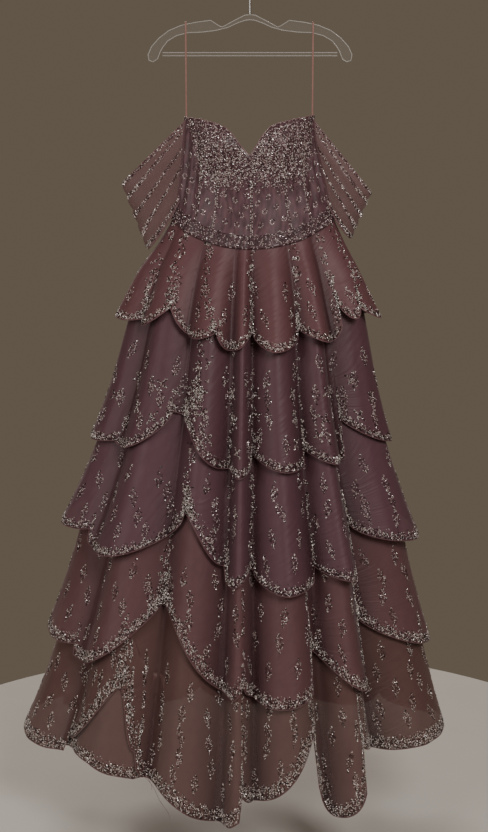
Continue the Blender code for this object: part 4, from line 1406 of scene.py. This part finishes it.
def sew_bodice(tree):
    """Heavy beading under the neckline, florets on the net, and beads along the boning."""
    beads = Beads(31)
    spacing = 0.0025
    for row_z in np.arange(-0.284, -0.452, -spacing * 0.86):
        column = bodice.walk(bodice.hem * 0.4, spacing, beads.random.uniform(0, 1))
        column = column + beads.random.normal(0, 0.15, len(column))
        angle = np.interp(column, np.arange(len(ONCE_ROUND)), ONCE_ROUND)
        angle = (angle + 180.0) % 360.0 - 180.0
        top = np.array([neck_height(a) for a in angle])
        low = np.array([waist_height(a) for a in angle])
        row = (top - row_z) / (top - low) * bodice.hem + beads.random.normal(0, 0.12, len(column))
        boning = np.min([np.abs(angle - bone) for bone in BONES], axis=0)
        floor = np.interp(angle, [edge.angle for edge in COVER], [edge.z for edge in COVER])
        floor = floor - 0.014 * np.exp(-(boning / 3.0) ** 2)
        deep = np.clip((row_z - floor) / 0.040 + 0.4, 0.0, 1.0)
        kept = (row > 0.7) & (np.abs(angle) < 78.0)
        kept &= beads.random.uniform(0, 1, len(column)) < deep
        beads.sew(bodice, column[kept], row[kept], BODICE_BEAD, 0.45, dark=0.56)
    beads.sew(bodice, bodice.walk(0, 0.0027), 0.25, BODICE_BEAD, 0.45)
    for line in range(6):
        row = bodice.hem * (0.36 + 0.118 * line)
        beads.ring(bodice, bodice.walk(row, 0.0245, 0.5 * (line % 2)), row, 0.0048, 0.0015, 9, 0.25)
    count = 70
    for bone in BONES:
        for lane in (-0.0016, 0.0016):
            row = np.linspace(bodice.hem * 0.3, bodice.hem * 0.93, count)
            place = bodice.step(np.full(count, column_of(bone)), row, np.full(count, lane), np.zeros(count))
            beads.sew(bodice, *place, SMALL_BEAD)
    beads.bring("beads_bodice", tree)


def sew_belt(tree):
    """Close lines of dark beads round the belt."""
    beads = Beads(41)
    for line in range(10):
        row = 0.35 + 7.3 * line / 9
        column = belt.walk(4, 0.0025, 0.5 * (line % 2))
        beads.sew(belt, column + beads.random.normal(0, 0.12, len(column)), row, 0.0012, 0.4, 0.0006, 0.74)
    beads.bring("beads_belt", tree, 0.95)


def sew_sleeves(tree):
    """Beaded bands of three lanes across each sleeve."""
    share = np.linspace(0.02, 0.98, 130)
    reach = np.sin(share * math.pi)
    for sleeve, cloth in zip(SLEEVES, sleeves):
        beads = Beads(51 + sleeve.side)
        column = share * cloth.columns[-1]
        for inner, outer in SLEEVE_BANDS:
            row = cloth.hem * (inner + (outer - inner) * reach)
            for lane in (-0.0027, 0.0, 0.0027):
                drift = beads.random.normal(0.0, 0.0010, len(share))
                place = cloth.step(column, row, beads.random.normal(0.0, 0.0008, len(share)), lane + drift)
                kept = beads.random.uniform(0, 1, len(share)) < 0.85
                beads.sew(cloth, place[0][kept], place[1][kept], BEAD)
        beads.bring("beads_" + sleeve.name, tree)


# The studio: its floor, its soft lights and its camera.
FLOOR_Z = -1.80
FLOOR_RADIUS = 1.0
AIR = (0.125, 0.100, 0.072, 1.0)
LIGHTS = table(
    "name place target size power",
    ("key_light", (1.2, -2.9, 1.0), (0.0, 0.0, -0.8), 1.3, 57.0),
    ("fill_light", (-2.4, -2.4, 0.1), (0.0, 0.0, -0.9), 1.6, 27.0),
    ("back_light", (-0.6, 2.4, 1.2), (0.0, 0.0, -0.9), 1.6, 44.0),
)
CAMERA_PLACE = (-0.012, -3.1, -0.273)
CAMERA_TILT = 78.47
CAMERA_LENS = 64.9


def set_stage():
    """Pale floor, soft lights and the camera at the photograph's angle."""
    mesh = bpy.data.meshes.new("studio_floor")
    turns = [math.pi * i / 48 for i in range(96)]
    rim = [(FLOOR_RADIUS * math.cos(turn), FLOOR_RADIUS * math.sin(turn), FLOOR_Z) for turn in turns]
    mesh.from_pydata(rim, [], [tuple(range(96))])
    mesh.materials.append(floor_finish("pale_floor"))
    put("studio_floor", mesh)
    world = bpy.data.worlds.new("studio_air")
    world.use_nodes = True
    world.node_tree.nodes["Background"].inputs["Color"].default_value = AIR
    world.node_tree.nodes["Background"].inputs["Strength"].default_value = 1.0
    bpy.context.scene.world = world
    for light in LIGHTS:
        lamp = bpy.data.lights.new(light.name, "AREA")
        lamp.size = light.size
        lamp.energy = light.power
        lamp.color = (1.0, 0.95, 0.90)
        made = put(light.name, lamp)
        made.location = light.place
        aim = Vector(light.target) - Vector(light.place)
        made.rotation_euler = aim.to_track_quat("-Z", "Y").to_euler()
    lens = bpy.data.cameras.new("camera")
    lens.lens = CAMERA_LENS
    lens.sensor_width = 36.0
    camera = put("camera", lens)
    camera.location = CAMERA_PLACE
    camera.rotation_euler = (math.radians(CAMERA_TILT), 0.0, 0.0)
    bpy.context.scene.camera = camera


make_hanger()
make_ribbons()
make_bodice()
make_sleeves()
make_skirt()
make_trims()
bead_maker = bead_tree("cut_beads", beading)
sew_skirt(bead_maker)
sew_bodice(bead_maker)
sew_belt(bead_maker)
sew_sleeves(bead_maker)
set_stage()
